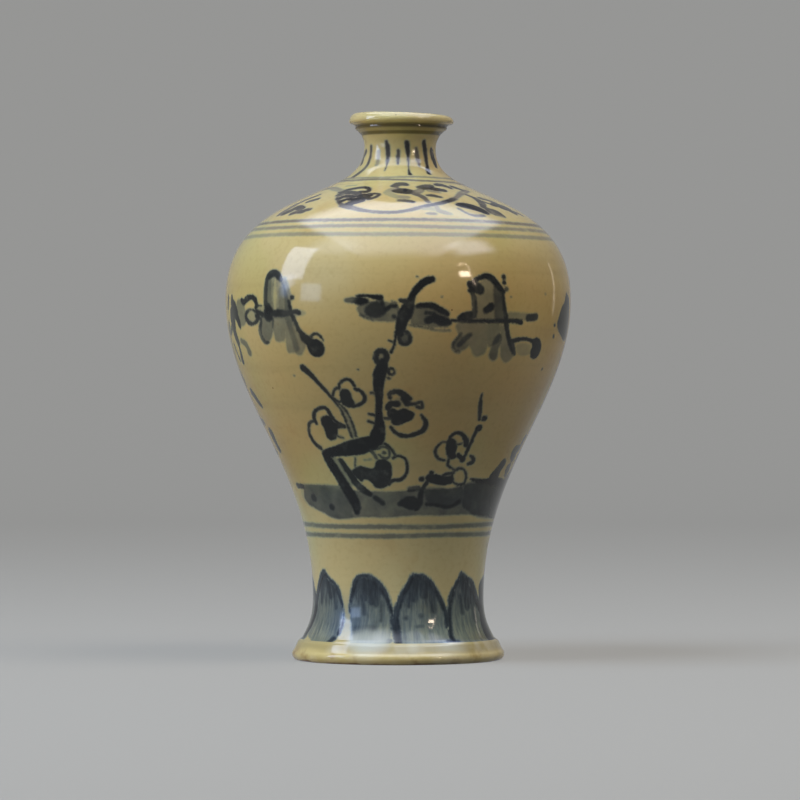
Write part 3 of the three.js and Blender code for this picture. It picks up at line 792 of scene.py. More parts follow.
SIXTH_PETAL_EDGE = [
    (0.85, (485.5, 569, 1), (484.1, 577.5, 3), (481.3, 586.7, 5), (480.6, 595, 5), (480.6, 603.5, 4),
     (482, 613.3, 4), (484.1, 621.8, 5), (488.3, 631.6, 5), (491.1, 640.7, 4)),
]

NECK_DASHES = [
    (0.74, (365.9, 152.2, 2), (363.5, 157.9, 2), (361.6, 163.7, 2)),
    (0.74, (371.1, 146.5, 2.2), (371.1, 152.2, 2), (369.2, 160.8, 2), (364.4, 168.5, 2),
     (358.7, 173.3, 2.2),
     (353.9, 176.6, 2.2)),
    (0.46, (378.8, 151.2, 3), (376.9, 164.6, 3)),
    (0.83, (386.5, 141.7, 3), (387.9, 148.4, 4.5), (387.9, 156, 4), (386.9, 164.6, 1.5),
     (385, 170.4, 1)),
    (0.78, (398.4, 150.3, 3.5), (398.1, 157, 4), (397.9, 163.7, 2)),
    (0.92, (407, 142.6, 4.5), (407.5, 149.3, 4.5), (408, 156, 3), (408.5, 164.6, 1),
     (408.9, 171.3, 1.5),
     (409.9, 174.2, 3.5)),
    (0.69, (416.1, 148.4, 3), (417.1, 155, 4), (418, 160.8, 3.5), (419, 165.6, 2)),
    (0.92, (423.8, 141.7, 3.5), (424.7, 148.4, 4), (425.7, 157, 3), (427.1, 165.6, 2.5),
     (428.6, 173.3, 3.5)),
    (0.92, (431.4, 150.3, 2.5), (432.4, 156, 3.5), (434.3, 161.8, 3), (435.7, 166.6, 1.5)),
    (0.64, (436.2, 146.5, 1.5), (436.2, 152.2, 1.5)),
]

SHOULDER_CLUSTER = [
    (0.83, (341, 192, 2.5), (347, 190, 2.3), (353, 188.8, 2.3), (359, 187.8, 2.1), (364.5, 187.3, 2.1),
     (368.5, 188.3, 2.3), (369, 190.3, 2.3), (366, 191.8, 2.3), (360, 191.6, 1.8)),
    (0.77, (339.5, 195, 2.9), (345, 192.8, 3.4), (352, 192.5, 3), (358, 193.3, 3)),
    (0.84, (338.5, 198.6, 2.6), (345, 196.3, 2.6), (353, 196.2, 2.8), (361, 195.2, 3.2),
     (369, 195.6, 3.2)),
    (0.88, (341, 201.3, 2.6), (347, 199.2, 2), (354, 199.4, 2.8), (361, 198.4, 3.2), (368, 198, 2.6)),
    (0.83, (350, 203, 3.4), (356, 202, 3.4), (363, 200.6, 2.3)),
    (0.77, (369.5, 194, 2.1), (374, 193.6, 1.8), (379, 194, 1.8), (377.5, 196, 2.1), (373, 198, 2.1),
     (368.5, 199.3, 2.1)),
    (0.72, (337, 197.5, 2.9), (338.6, 201.5, 2.9), (342, 204.8, 2.9), (346, 206.3, 2.9)),
    (0.88, (347.5, 204, 3.4), (351, 204.3, 2.9)),
    (0.37, (347, 186, 1.1), (356, 185.2, 1.1)),
    (0.44, (333.3, 188.7, 2.3), (341.6, 190.7, 2.3)),
]
SHOULDER_BRANCH = [
    (0.72, (342, 205.3, 3.2), (348, 206.8, 3.9), (354, 208.4, 3.6), (360, 209.8, 3.2),
     (366.7, 210.8, 3)),
    (0.72, (366.7, 210.8, 3), (375, 211.8, 3), (385, 212.2, 3), (395.8, 212, 3), (408, 210.4, 3),
     (416, 208.4, 3), (423, 206.6, 3)),
    (0.84, (423, 206.6, 3), (433, 204.6, 2.8), (441, 203, 2.8), (449, 200.8, 2.8), (454.5, 198.6, 2.6)),
    (0.6, (454.5, 198.6, 2.6), (458, 196, 2.6), (461.5, 193.2, 2.6), (466.7, 190.8, 2.2)),
]
SHOULDER_MIDDLE = [
    (0.77, (394.5, 186, 3.2), (398, 184.3, 3.4), (403, 184, 3.4), (406.5, 184.8, 2.3)),
    (0.66, (396.5, 186.5, 2.9), (397.5, 189, 3.4)),
    (0.39, (387, 192, 2.9), (390, 189.7, 2.3), (395, 188.8, 2.3)),
    (0.33, (387.5, 192.5, 3.4), (392, 195, 3.4), (397, 197, 2.9)),
    (0.86, (396.5, 190.5, 4.2), (402, 190.8, 5.4), (408, 191.5, 5), (414.5, 192.5, 3.6)),
    (0.97, (399.5, 191, 2.6), (406, 191.2, 3.2), (410, 191.8, 2.4)),
    (0.55, (414.5, 192.5, 4.6), (419, 191, 4), (421.5, 189, 2.9)),
    (0.46, (398.5, 196.8, 2.9), (407, 197.2, 2.9)),
    (0.66, (399.5, 200.3, 2.5), (405, 200.6, 2.8)),
    (0.83, (405, 200.6, 2.8), (412.5, 201.8, 2.5)),
    (0.73, (420, 187.5, 3), (425, 186, 2.8), (431, 185.8, 2.5)),
    (0.88, (423, 188.3, 3), (429, 187.9, 3.4), (436, 189.2, 3.4), (443, 190.3, 3)),
    (0.83, (436.7, 185, 2.3), (441, 185, 2.8), (446, 186.4, 2.5), (450.5, 188.2, 1.7)),
    (0.44, (428.7, 190.7, 1.7), (438.6, 192.3, 1.7)),
    (0.77, (427.5, 195.3, 1.7), (433, 195.6, 2.5), (440, 197, 2.1)),
    (0.7, (416, 194.3, 2.8), (421, 196, 2.8), (425, 198.8, 2.8), (428.2, 202, 2.8)),
    (0.53, (428, 213.3, 2.5), (435, 213.6, 2.5)),
    (0.31, (424, 208, 2.9), (432, 209, 3.4)),
    (0.46, (436.5, 206.5, 3.4), (438, 210, 3.4), (443, 212, 3.7), (450, 213.6, 2.5)),
]
SHOULDER_RIGHT = [
    (0.79, (453, 187, 2.5), (457.5, 188.4, 2.5), (462, 190, 2.5)),
    (0.77, (466.7, 194.8, 1.9), (472, 197, 2.2), (477, 199.4, 2.8), (481.3, 202.8, 3.2), (483, 207, 3)),
    (0.95, (458.5, 205, 2.6), (462, 205, 4.2), (468, 206, 4.8), (474.5, 207.8, 4.8), (481, 210.2, 4.2),
     (486, 212.6, 3)),
    (0.66, (459, 208.8, 1.8), (465.5, 212.6, 1.8), (472, 215, 2), (478, 215.9, 2.2), (484, 215.6, 2)),
    (0.77, (487.4, 209, 3.1), (492, 211.7, 4.4), (496.6, 212.8, 4.4), (502.7, 215.9, 2.5)),
    (0.72, (480.6, 198.3, 2.5), (487.4, 200.2, 2.5), (495.1, 202.9, 2.5)),
    (0.72, (483.6, 201.8, 1.9), (489, 203.7, 1.9)),
    (0.83, (492, 204.8, 2.2), (497.4, 205.2, 4), (501.2, 206.7, 4.8), (507.3, 209, 4.8),
     (512.7, 212.1, 3.6)),
    (0.66, (514.2, 212.1, 1.9), (518.8, 213.6, 1.9), (521.9, 215.1, 1.9)),
]
SHOULDER_LEFT = [
    (0.74, (294.6, 204.8, 1.5), (299.9, 202.8, 2), (305.3, 200.1, 2.5), (310.6, 198.1, 2.5),
     (318.7, 195.1, 2)),
    (0.74, (308.6, 201.5, 2.5), (312, 200.5, 2.5), (317.3, 199.1, 2.5)),
    (0.64, (280.5, 213.9, 3), (283.8, 211.5, 3), (288.5, 208.8, 3), (294.6, 205.5, 3)),
    (0.78, (285.2, 212.9, 3.5), (291.9, 210.2, 3.5), (297.2, 207.5, 3.5), (301.9, 208.5, 3)),
    (0.74, (291.9, 213.5, 2.5), (297.2, 211.9, 2.5), (302.6, 211.5, 2.5), (305.3, 210.2, 2.5),
     (310, 209.5, 2)),
    (0.55, (325.4, 189.4, 2), (332, 188.1, 2), (338.8, 189.4, 2), (342, 191.4, 2)),
]

# Ring lines: the height in pixels at the front, their width, tone, and fall to the right
NECK_RINGS = ((177, 1.4, 0.5, 0.009), (180, 1.6, 0.6, 0.03))
SHOULDER_RINGS = ((219.8, 2.7, 0.6, 0.005), (226, 2.9, 0.5, 0.005), (233.5, 3.2, 0.44, 0.005))
FOOT_RINGS = ((526.6, 4, 0.6, 0.0), (535.8, 4, 0.6, 0.0))


# Laying the strokes round the vase

# A ring line drifts in long waves and ripples in short ones, and swells towards the front
RING_SPOTS = 49
RING_DRIFT = 0.25 * MM
RING_DRIFT_WAVES = 2
RING_RIPPLE = 0.12 * MM
RING_RIPPLE_WAVES = 5
RING_RIPPLE_SHIFT = 3
RING_SWELL = 1.15


def paint_ring(pixel, width, tone, fall, index):
    """A ring line all round, a little uneven, as drawn on the turning wheel."""
    edges = on_vase([(AXIS_PIXEL, pixel - width / 2), (AXIS_PIXEL, pixel + width / 2)])
    thickness = np.linalg.norm(np.diff(place(edges), axis=0)) / MM
    turns = np.linspace(-math.pi, math.pi, RING_SPOTS)
    heights = edges[:, 1].mean() + RING_DRIFT * np.sin(turns * RING_DRIFT_WAVES + index)
    heights += RING_RIPPLE * np.sin(turns * RING_RIPPLE_WAVES + index * RING_RIPPLE_SHIFT)
    heights -= fall * radius_at(OUTER, heights) * np.sin(turns)
    widths = (thickness, thickness * RING_SWELL, thickness)
    lines.line(np.column_stack([turns, heights]), widths, tone)


def paint_rings():
    """Ring lines at the foot of the neck, on the shoulder and above the lappets."""
    for index, ring in enumerate(NECK_RINGS + SHOULDER_RINGS + FOOT_RINGS):
        paint_ring(*ring, index)


# Lappets of the foot: how far each pair or single is turned from where it was read
PAIR_TURNS = (0, 146, 216)
FIRST_PETAL_TURN = -33
LAST_PETAL_TURN = 37


def paint_petals():
    """The band of lappets round the foot."""
    darks.brush(FIRST_PETAL_EDGE + SECOND_PETAL_FOOT + SIXTH_PETAL_EDGE)
    for turn in (0, FIRST_PETAL_TURN):
        darks.brush(SECOND_PETAL[:1] if turn else SECOND_PETAL, turn)
        darks.brush(SECOND_PETAL_STREAKS, turn)
        washes.fill(SECOND_PETAL_WASH, turn)
    for turn in PAIR_TURNS:
        darks.brush(THIRD_PETAL + FOURTH_PETAL, turn)
        darks.brush(THIRD_PETAL_STREAKS + FOURTH_PETAL_STREAKS, turn)
        washes.fill(THIRD_PETAL_WASH + FOURTH_PETAL_WASH, turn)
    for turn in (0, LAST_PETAL_TURN):
        darks.brush(FIFTH_PETAL[1:] if turn else FIFTH_PETAL, turn)
        darks.brush(FIFTH_PETAL_STREAKS, turn)
        washes.fill(FIFTH_PETAL_WASH, turn)


# Neck dashes out of the reference's sight: their number, and turns in degrees from the front
BACK_DASHES = 12
FIRST_BACK_DASH = 94
DASH_STEP = 15.6
# Their top and foot, long and short, how far the tops vary, the turn at middle and foot in
# radians, the widths in mm and the tone
LONG_DASH = (0.2455, 0.2312)
SHORT_DASH = (0.2425, 0.2355)
DASH_DRIFT = 0.6 * MM
DASH_DRIFT_STEP = 2.3
DASH_MIDDLE_LEAN = 0.02
DASH_FOOT_LEAN = 0.05
DASH_WIDTHS = (1.5, 1.9, 0.6)
DASH_TONE = 0.85


def paint_neck():
    """Upright dashes round the neck, long and short in turn."""
    lines.brush(NECK_DASHES)
    for index in range(BACK_DASHES):
        turn = math.radians(FIRST_BACK_DASH + index * DASH_STEP)
        top, foot = LONG_DASH if index % 2 else SHORT_DASH
        top += DASH_DRIFT * math.sin(index * DASH_DRIFT_STEP)
        spots = [(turn, top), (turn + DASH_MIDDLE_LEAN, (top + foot) / 2),
                 (turn + DASH_FOOT_LEAN, foot)]
        lines.line(spots, DASH_WIDTHS, DASH_TONE)


# The turn in degrees that carries the front's painting to the back
BACK = 180


def paint_field():
    """Clouds, prunus and ground of the front, and the same seen in a mirror at the back."""
    for turn, mirror in ((0, False), (BACK, True)):
        lines.brush(LEFT_CLOUD + CENTRE_CLOUD + RIGHT_CLOUD, turn, mirror)
        darks.brush(LEFT_CLOUD_DARK, turn, mirror)
        darks.fill(LEFT_CLOUD_DARK_WASH + CENTRE_CLOUD_DARK_WASH, turn, mirror)
        darks.fill(RIGHT_CLOUD_DARK_WASH + GROUND_DARK_WASH, turn, mirror)
        washes.fill(LEFT_CLOUD_WASH + CENTRE_CLOUD_WASH + RIGHT_CLOUD_WASH, turn, mirror)
        lines.brush(TRUNK + SIDE_BRANCH + RIGHT_TWIG, turn, mirror)
        lines.brush(UPPER_BLOSSOM + LEFT_BLOSSOM + MIDDLE_BLOSSOM + RIGHT_BLOSSOM, turn, mirror)
        lines.brush(ROOT_BLOSSOM, turn, mirror)
        lines.fill(HEARTS, turn, mirror)
        washes.fill(STEM_WASH, turn, mirror)
        lines.brush(GROUND, turn, mirror)
        washes.fill(GROUND_WASH, turn, mirror)
    lines.brush(LEFT_EDGE)


def paint_shoulder():
    """Scrolling branch and leaf clusters of the shoulder, front and back."""
    for turn in (0, BACK):
        lines.brush(SHOULDER_CLUSTER + SHOULDER_BRANCH + SHOULDER_MIDDLE, turn)
        lines.brush(SHOULDER_RIGHT + SHOULDER_LEFT, turn)


paint_rings()
paint_petals()
paint_neck()
paint_field()
paint_shoulder()


# Materials

def srgb(red, green, blue):
    """A linear colour from 0 to 255 screen values."""
    def linear(value):
        value /= 255
        return value / 12.92 if value <= 0.04045 else ((value + 0.055) / 1.055) ** 2.4
    return (linear(red), linear(green), linear(blue), 1)


NO_STRETCH = (1, 1, 1)


class Nodes:
    """Short calls for a material's node tree."""

    def __init__(self, name):
        self.material = bpy.data.materials.new(name)
        self.material.use_nodes = True
        self.tree = self.material.node_tree
        self.shader = self.tree.nodes["Principled BSDF"]

    def add(self, kind, **settings):
        """A new shader node with its settings."""
        node = self.tree.nodes.new("ShaderNode" + kind)
        for name, value in settings.items():
            setattr(node, name, value)
        return node

    def feed(self, socket, value):
        """Links an output to a socket, or sets the socket to a plain value."""
        if hasattr(value, "is_output"):
            self.tree.links.new(value, socket)
        else:
            socket.default_value = value

    def math(self, operation, first, second=0.0, clamp=False):
        """A maths node's result."""
        node = self.add("Math", operation=operation, use_clamp=clamp)
        self.feed(node.inputs[0], first)
        self.feed(node.inputs[1], second)
        return node.outputs[0]

    def mix(self, share, first, second, blend="MIX"):
        """A colour between two others."""
        node = self.add("Mix", data_type="RGBA", blend_type=blend)
        self.feed(node.inputs[0], share)
        self.feed(node.inputs[6], first)
        self.feed(node.inputs[7], second)
        return node.outputs[2]

    def between(self, value, low, high):
        """0 where value is at low, 1 where it is at high."""
        node = self.add("MapRange", interpolation_type="SMOOTHSTEP")
        self.feed(node.inputs[0], value)
        node.inputs[1].default_value = low
        node.inputs[2].default_value = high
        return node.outputs[0]

    def partly(self, value, low, high, most):
        """0 where value is at low, and a largest share where it is at high."""
        return self.math("MULTIPLY", self.between(value, low, high), most)

    def waver(self, pattern, size):
        """A pattern from 0 to 1 as distances to both sides of nothing."""
        return self.math("MULTIPLY", self.math("SUBTRACT", pattern, 0.5), size)

    def place(self, stretch=NO_STRETCH):
        """Places on the vase, in metres, stretched for a pattern."""
        node = self.add("Mapping")
        node.inputs["Scale"].default_value = stretch
        self.feed(node.inputs["Vector"], self.add("TexCoord").outputs["Object"])
        return node.outputs[0]

    def vector(self, operation, first, second):
        """A vector maths node."""
        node = self.add("VectorMath", operation=operation)
        self.feed(node.inputs[0], first)
        self.feed(node.inputs[1], second)
        return node

    def upright(self, squash):
        """Places as on a straight cylinder, squashed in height, for upright brush marks."""
        flat = self.vector("NORMALIZE", self.place((1, 1, 0)), (0, 0, 0)).outputs[0]
        across = self.vector("MULTIPLY", flat, (WAIST_RADIUS, WAIST_RADIUS, 0)).outputs[0]
        return self.vector("ADD", across, self.place((0, 0, squash))).outputs[0]

    def near(self, pixel, radius):
        """1 at a spot of the outer face seen at a pixel of the reference, 0 beyond a radius."""
        spot = tuple(place(on_vase([pixel]))[0])
        away = self.vector("DISTANCE", self.place(), spot).outputs["Value"]
        return self.between(away, radius, 0)

    def noise(self, scale, detail=3.0, stretch=NO_STRETCH, roughness=0.5, places=None):
        """A soft random pattern from 0 to 1."""
        node = self.add("TexNoise")
        self.feed(node.inputs["Vector"], places or self.place(stretch))
        node.inputs["Scale"].default_value = scale
        node.inputs["Detail"].default_value = detail
        node.inputs["Roughness"].default_value = roughness
        return node.outputs[0]

    def attribute(self, name):
        """A number stored at each vertex."""
        return self.add("Attribute", attribute_name=name).outputs["Fac"]

    def ramp(self, value, stops):
        """A colour ramp through stops of position and colour."""
        node = self.add("ValToRGB")
        self.feed(node.inputs[0], value)
        elements = node.color_ramp.elements
        while len(elements) < len(stops):
            elements.new(0.5)
        for element, (position, colour) in zip(elements, stops):
            element.position = position
            element.color = colour
        return node.outputs[0]

    def bump(self, height, strength, distance):
        """Raises the surface by a pattern."""
        node = self.add("Bump")
        node.inputs["Strength"].default_value = strength
        node.inputs["Distance"].default_value = distance
        self.feed(node.inputs["Height"], height)
        self.feed(self.shader.inputs["Normal"], node.outputs[0])


# Share of a speck's size over which it is darkest
SPECK_CORE = 0.4


def specks(n, scale, size, share):
    """Round iron specks: 1 inside a speck, in a share of the cells of a cell pattern."""
    cells = n.add("TexVoronoi")
    cells.inputs["Scale"].default_value = scale
    n.feed(cells.inputs["Vector"], n.place())
    chosen = n.add("SeparateColor")
    n.feed(chosen.inputs[0], cells.outputs["Color"])
    dot = n.between(cells.outputs["Distance"], size, size * SPECK_CORE)
    return n.math("MULTIPLY", dot, n.math("GREATER_THAN", chosen.outputs[0], 1 - share))


# The glaze's faint clouds: the scale of their pattern, and positions in it with a colour
CLOUD_SCALE = 11
CLOUD_STOPS = ((0.32, srgb(206, 182, 128)), (0.5, srgb(205, 189, 138)), (0.68, srgb(206, 195, 150)))

# Patterns over the clouds: scale, detail, stretch and roughness of the noise, where in it the
# pattern starts and is full, its largest share and its colour
GLAZE_PATTERNS = (
    ((34, 4, NO_STRETCH, 0.55), (0.54, 0.76), 0.6, srgb(192, 162, 108)),
    ((21, 2, NO_STRETCH, 0.5), (0.5, 0.7), 0.5, srgb(196, 192, 132)),
    ((420, 3, NO_STRETCH, 0.5), (0.45, 0.75), 0.22, srgb(176, 154, 104)),
    ((26, 4, (0.25, 0.25, 5), 0.5), (0.5, 0.75), 0.3, srgb(178, 164, 116)),
)

# Tints of the glaze up the vase, at shares of its height: greener below and above the field
TINTS = (
    (0.0, (1, 0.98, 0.92, 1)), (0.16, (0.98, 1.04, 1.08, 1)), (0.3, (0.96, 1.05, 1.1, 1)),
    (0.42, (0.97, 0.9, 0.74, 1)), (0.66, (0.98, 0.88, 0.68, 1)), (0.76, (0.95, 0.92, 0.82, 1)),
    (0.92, (0.96, 0.94, 0.9, 1)), (0.95, (0.96, 1, 1, 1)), (1.0, (1, 1, 0.98, 1)),
)

# Patches of the glaze, broad and small: a pixel at their middle, their radius and a tint. The warm dark
# ones at the sides of the body are painted shade, the bluish one between the lappets is painted
# reflection, the two at the ends of the foot rim make it darker and more orange, and the rest tint the
# glaze itself.
GLAZE_PATCHES_AND_PAINTED_LIGHT = (
    ((345, 380), 0.07, (0.92, 0.98, 1.06, 1)), ((535, 430), 0.055, (0.84, 0.74, 0.42, 1)),
    ((484, 653), 0.014, (0.72, 0.62, 0.45, 1)), ((298, 655), 0.012, (0.95, 0.82, 0.62, 1)),
    ((347, 620), 0.018, (0.62, 0.74, 1.1, 1)), ((292, 468), 0.03, (0.84, 0.8, 0.6, 1)),
    ((505, 460), 0.03, (0.92, 0.84, 0.6, 1)), ((556, 320), 0.03, (0.84, 0.82, 0.6, 1)),
    ((352, 425), 0.045, (0.94, 1.05, 1.2, 1)), ((325, 275), 0.03, (1.04, 1.1, 1.3, 1)),
    ((250, 410), 0.05, (0.82, 0.76, 0.5, 1)), ((508, 275), 0.03, (1, 0.93, 0.84, 1)),
)

# Iron specks: cells to the metre, size in their cell, share of cells that have one, and colour
SPECKS = ((120, 0.07, 0.07, srgb(126, 100, 58)), (58, 0.05, 0.07, srgb(70, 52, 32)))

# Painted shade in the grooves under the lip and over the collar, where the lip's overhang shades them:
# height, half width and the share of darkening. Each is darkest over its core, a share of the half
# width.
UNDER_LIP_PAINTED_SHADE = ((0.2541, 0.0017, 0.85), (0.2507, 0.0012, 0.8), (0.252, 0.0026, 0.4))
UNDER_LIP_SHADE_CORE = 0.3
UNDER_LIP_SHADE_COLOUR = srgb(84, 78, 44)

# Painted highlights on the ledge and rim of the foot: a pixel at the middle of each white spot and a
# radius. Faint pale pools of the glaze follow a noise, from where in it they start and are full, up to
# a largest share.
FOOT_HIGHLIGHT_SPOTS = (((368, 651), 0.013), ((447, 651), 0.015), ((338, 657), 0.008), ((412, 650), 0.008))
FAINT_POOL_SCALE = 60
FAINT_POOLS = (0.48, 0.62, 0.4)

# Bands of the foot: the levels where each starts and is full, and its colours. The whites are for the
# faint pools and the painted highlights. The stains follow a noise too.
POOL_LEVELS = (0.0125, 0.0095)
POOL_TAN = srgb(186, 172, 120)
LEDGE_POOL_AND_HIGHLIGHT_WHITE = srgb(222, 223, 206)
RIM_LEVELS = (0.0072, 0.0046)
RIM_TAN = srgb(212, 196, 136)
RIM_POOL_AND_HIGHLIGHT_WHITE = srgb(230, 220, 180)
STAIN_LEVELS = (0.0095, 0.003)
STAIN_SCALE = 90
STAINS = (0.5, 0.68)
STAIN_SHARE = 0.75
STAIN_COLOUR = srgb(160, 122, 70)
BURNT_LEVELS = (0.0011, 0.0001)
BURNT_COLOUR = srgb(128, 84, 42)


def glaze_colour(n, level, height):
    """The bare glaze: yellow-tan with faint clouds, painted shade under the lip and at the sides of the
    body, a painted reflection between the lappets, painted highlights on the foot, and ochre at the
    edge of the foot.
    """
    colour = n.ramp(n.noise(CLOUD_SCALE), CLOUD_STOPS)
    for noise, reach, most, over in GLAZE_PATTERNS:
        colour = n.mix(n.partly(n.noise(*noise), *reach, most), colour, over)
    tints = n.ramp(n.math("DIVIDE", height, TOTAL_HEIGHT), TINTS)
    colour = n.mix(1.0, colour, tints, "MULTIPLY")
    # Tints of the glaze, with painted shade at the sides of the body and painted reflection between the
    # lappets.
    for pixel, radius, tint in GLAZE_PATCHES_AND_PAINTED_LIGHT:
        colour = n.mix(n.near(pixel, radius), colour, tint, "MULTIPLY")
    for scale, size, share, over in SPECKS:
        colour = n.mix(specks(n, scale, size, share), colour, over)
    # Darkens bands under the lip and over the collar: painted shade.
    for middle, half, share in UNDER_LIP_PAINTED_SHADE:
        away = n.math("ABSOLUTE", n.math("SUBTRACT", height, middle))
        colour = n.mix(n.partly(away, half, half * UNDER_LIP_SHADE_CORE, share), colour, UNDER_LIP_SHADE_COLOUR)
    return foot_bands(n, colour, level)


def foot_bands(n, colour, level):
    """The glaze with the pools and painted highlights, the rim, the stains and the burnt edge of the
    foot over it.
    """
    pale_pools_and_highlights = n.partly(n.noise(FAINT_POOL_SCALE), *FAINT_POOLS)
    # White spots of painted highlight over the faint pools.
    for pixel, radius in FOOT_HIGHLIGHT_SPOTS:
        pale_pools_and_highlights = n.math("MAXIMUM", pale_pools_and_highlights, n.near(pixel, radius))
    colour = n.mix(n.between(level, *POOL_LEVELS), colour, n.mix(pale_pools_and_highlights, POOL_TAN, LEDGE_POOL_AND_HIGHLIGHT_WHITE))
    colour = n.mix(n.between(level, *RIM_LEVELS), colour, n.mix(pale_pools_and_highlights, RIM_TAN, RIM_POOL_AND_HIGHLIGHT_WHITE))
    stains = n.between(n.noise(STAIN_SCALE, 4), *STAINS)
    stains = n.math("MULTIPLY", stains, n.between(level, *STAIN_LEVELS))
    stains = n.math("MULTIPLY", stains, n.math("SUBTRACT", 1, pale_pools_and_highlights, clamp=True))
    colour = n.mix(n.math("MULTIPLY", stains, STAIN_SHARE), colour, STAIN_COLOUR)
    return n.mix(n.between(level, *BURNT_LEVELS), colour, BURNT_COLOUR)


# The washes of the lappets are cooler, and the shoulder's painting warmer, than the rest. The
# levels are where each starts and is full, and the densities those of the paint that is tinted.
LAPPET_LEVELS = (0.056, 0.05)
LAPPET_TINT = (0.9, 1.03, 1.24, 1)
SHOULDER_LEVELS = (0.19, 0.2)
SHOULDER_TINT = (1.2, 1.02, 1.08, 1)
TINTED_DENSITY = (0.3, 0.6)

# Painted reflection of a pale light low on the lappets, bluish white: a pixel at the middle of each
# spot and a radius
LAPPET_REFLECTION_SPOTS = (((366, 644), 0.011), ((381, 642), 0.009), ((353, 641), 0.006))
LAPPET_REFLECTION_COLOUR = srgb(196, 204, 200)
LAPPET_REFLECTION_SHARE = 0.75

# Where each layer of cobalt starts and is full, in metres outside its marks' edges, and how far
# the edges waver: by fine and broad noise, and by bristles in the lappets
LINE_EDGES = (0.0009, -0.0006)
DARK_EDGES = (0.001, -0.0008)
WASH_EDGES = (0.0008, -0.0009)
FINE_SCALE = 800
FINE_WAVER = 0.0009
BROAD_SCALE = 260
BROAD_WAVER = 0.0007
BRISTLE_WAVER = 0.0026

# Blots in the strokes and bristle marks in the lappets: the patterns' scales, the bristles'
# squash in height, and the least density and what a pattern adds to it
BLOT_SCALE = 150
BRISTLE_SCALE = 700
BRISTLE_ROUGHNESS = 0.6
BRISTLE_SQUASH = 0.16
LINE_BLOTS = (-0.2, 0.5)
BLOTTED_LEAST = 0.75
BLOTTED_GAIN = 0.5
BRUSHED_LEAST = 0.9
BRUSHED_GAIN = (0.3, 0.7, 0.2)

# The lappets' washes are thinner near the foot and thicker at the top, between these levels
STREAK_WAVER = 0.018
FOOT_THINNING = 0.14
FOOT_THINNING_LEVELS = (0.011, 0.02)
TOP_THICKENING = 0.32
TOP_THICKENING_LEVELS = (0.026, 0.038)

# Densities of the cobalt, and the colour that each multiplies the glaze by
COBALT_STOPS = (
    (0.0, (1, 1, 1, 1)), (0.25, (0.73, 0.84, 1.0, 1)), (0.45, (0.49, 0.59, 0.85, 1)),
    (0.65, (0.22, 0.285, 0.48, 1)), (0.8, (0.09, 0.125, 0.26, 1)), (1.0, (0.016, 0.026, 0.07, 1)),
)


def cobalt_layer(n, name, feather, edges):
    """How densely one layer of cobalt lies, before its strength is varied."""
    edge = n.math("ADD", n.attribute(name + "_edge"), feather)
    return n.math("MULTIPLY", n.between(edge, *edges), n.attribute(name + "_tone"))


def cobalt_density(n, level, in_lappets):
    """How densely all the cobalt lies together."""
    feather = n.math("ADD", n.waver(n.noise(FINE_SCALE), FINE_WAVER),
                     n.waver(n.noise(BROAD_SCALE), BROAD_WAVER))
    blots = n.noise(BLOT_SCALE, 4)
    bristles = n.noise(BRISTLE_SCALE, 4, roughness=BRISTLE_ROUGHNESS,
                       places=n.upright(BRISTLE_SQUASH))
    ragged = n.math("MULTIPLY", n.waver(bristles, BRISTLE_WAVER), in_lappets)

    line = cobalt_layer(n, "line", feather, LINE_EDGES)
    line = n.math("MULTIPLY", line, n.between(blots, *LINE_BLOTS))
    dark = cobalt_layer(n, "dark", n.math("ADD", ragged, feather), DARK_EDGES)
    wash = cobalt_layer(n, "wash", feather, WASH_EDGES)

    blotted = n.math("ADD", BLOTTED_LEAST, n.math("MULTIPLY", blots, BLOTTED_GAIN))
    brushed = n.math("ADD", BRUSHED_LEAST, n.partly(bristles, *BRUSHED_GAIN))
    uneven = n.add("Mix")
    for socket, value in zip((0, 2, 3), (in_lappets, blotted, brushed)):
        n.feed(uneven.inputs[socket], value)
    dark = n.math("MULTIPLY", dark, uneven.outputs[0])

    streaky = n.math("ADD", level, n.waver(bristles, STREAK_WAVER))
    risen = n.math("ADD", n.partly(streaky, *FOOT_THINNING_LEVELS, FOOT_THINNING),
                   n.partly(streaky, *TOP_THICKENING_LEVELS, TOP_THICKENING))
    thinned = n.math("MULTIPLY", n.math("SUBTRACT", FOOT_THINNING, risen), in_lappets)
    wash = n.math("MULTIPLY", wash, n.math("SUBTRACT", uneven.outputs[0], thinned))

    clear = n.math("SUBTRACT", 1, line, clamp=True)
    for layer in (dark, wash):
        clear = n.math("MULTIPLY", clear, n.math("SUBTRACT", 1, layer, clamp=True))
    return n.math("SUBTRACT", 1, clear, clamp=True)


def cobalt_filter(n, level):
    """How the painting under the glaze darkens it: a colour to multiply the glaze by."""
    in_lappets = n.between(level, *LAPPET_LEVELS)
    density = cobalt_density(n, level, in_lappets)
    shade = n.ramp(density, COBALT_STOPS)
    on_shoulder = n.between(level, *SHOULDER_LEVELS)
    for region, tint in ((in_lappets, LAPPET_TINT), (on_shoulder, SHOULDER_TINT)):
        share = n.math("MULTIPLY", region, n.between(density, *TINTED_DENSITY))
        shade = n.mix(share, shade, n.mix(1.0, shade, tint, "MULTIPLY"))
    return shade


# Gloss of the glaze, and how much rougher the clay is where it is bare
GLAZE_IOR = 1.42
GLAZE_ROUGHNESS = 0.09
BARE_ROUGHNESS = 0.7

# The bands of the glaze waver in height, and its face ripples a little
LEVEL_SCALE = 70
LEVEL_WAVER = 0.0035
RIPPLE_SCALE = 60
RIPPLE_STRETCH = (1, 1, 1.6)
RIPPLE_STRENGTH = 0.1
RIPPLE_DEPTH = 0.001

# Bare clay under the foot, and the grains of clay and slip
BARE_SCALE = 60
BARE_PALE = srgb(176, 124, 74)
BARE_DARK = srgb(136, 88, 48)
GRAIN_SCALE = 900
GRAINS = (0.5, 0.75)
GRAIN_STRENGTH = 0.4
GRAIN_DEPTH = 0.0004
MOTTLE_SCALE = 40
MOTTLES = (0.35, 0.7)


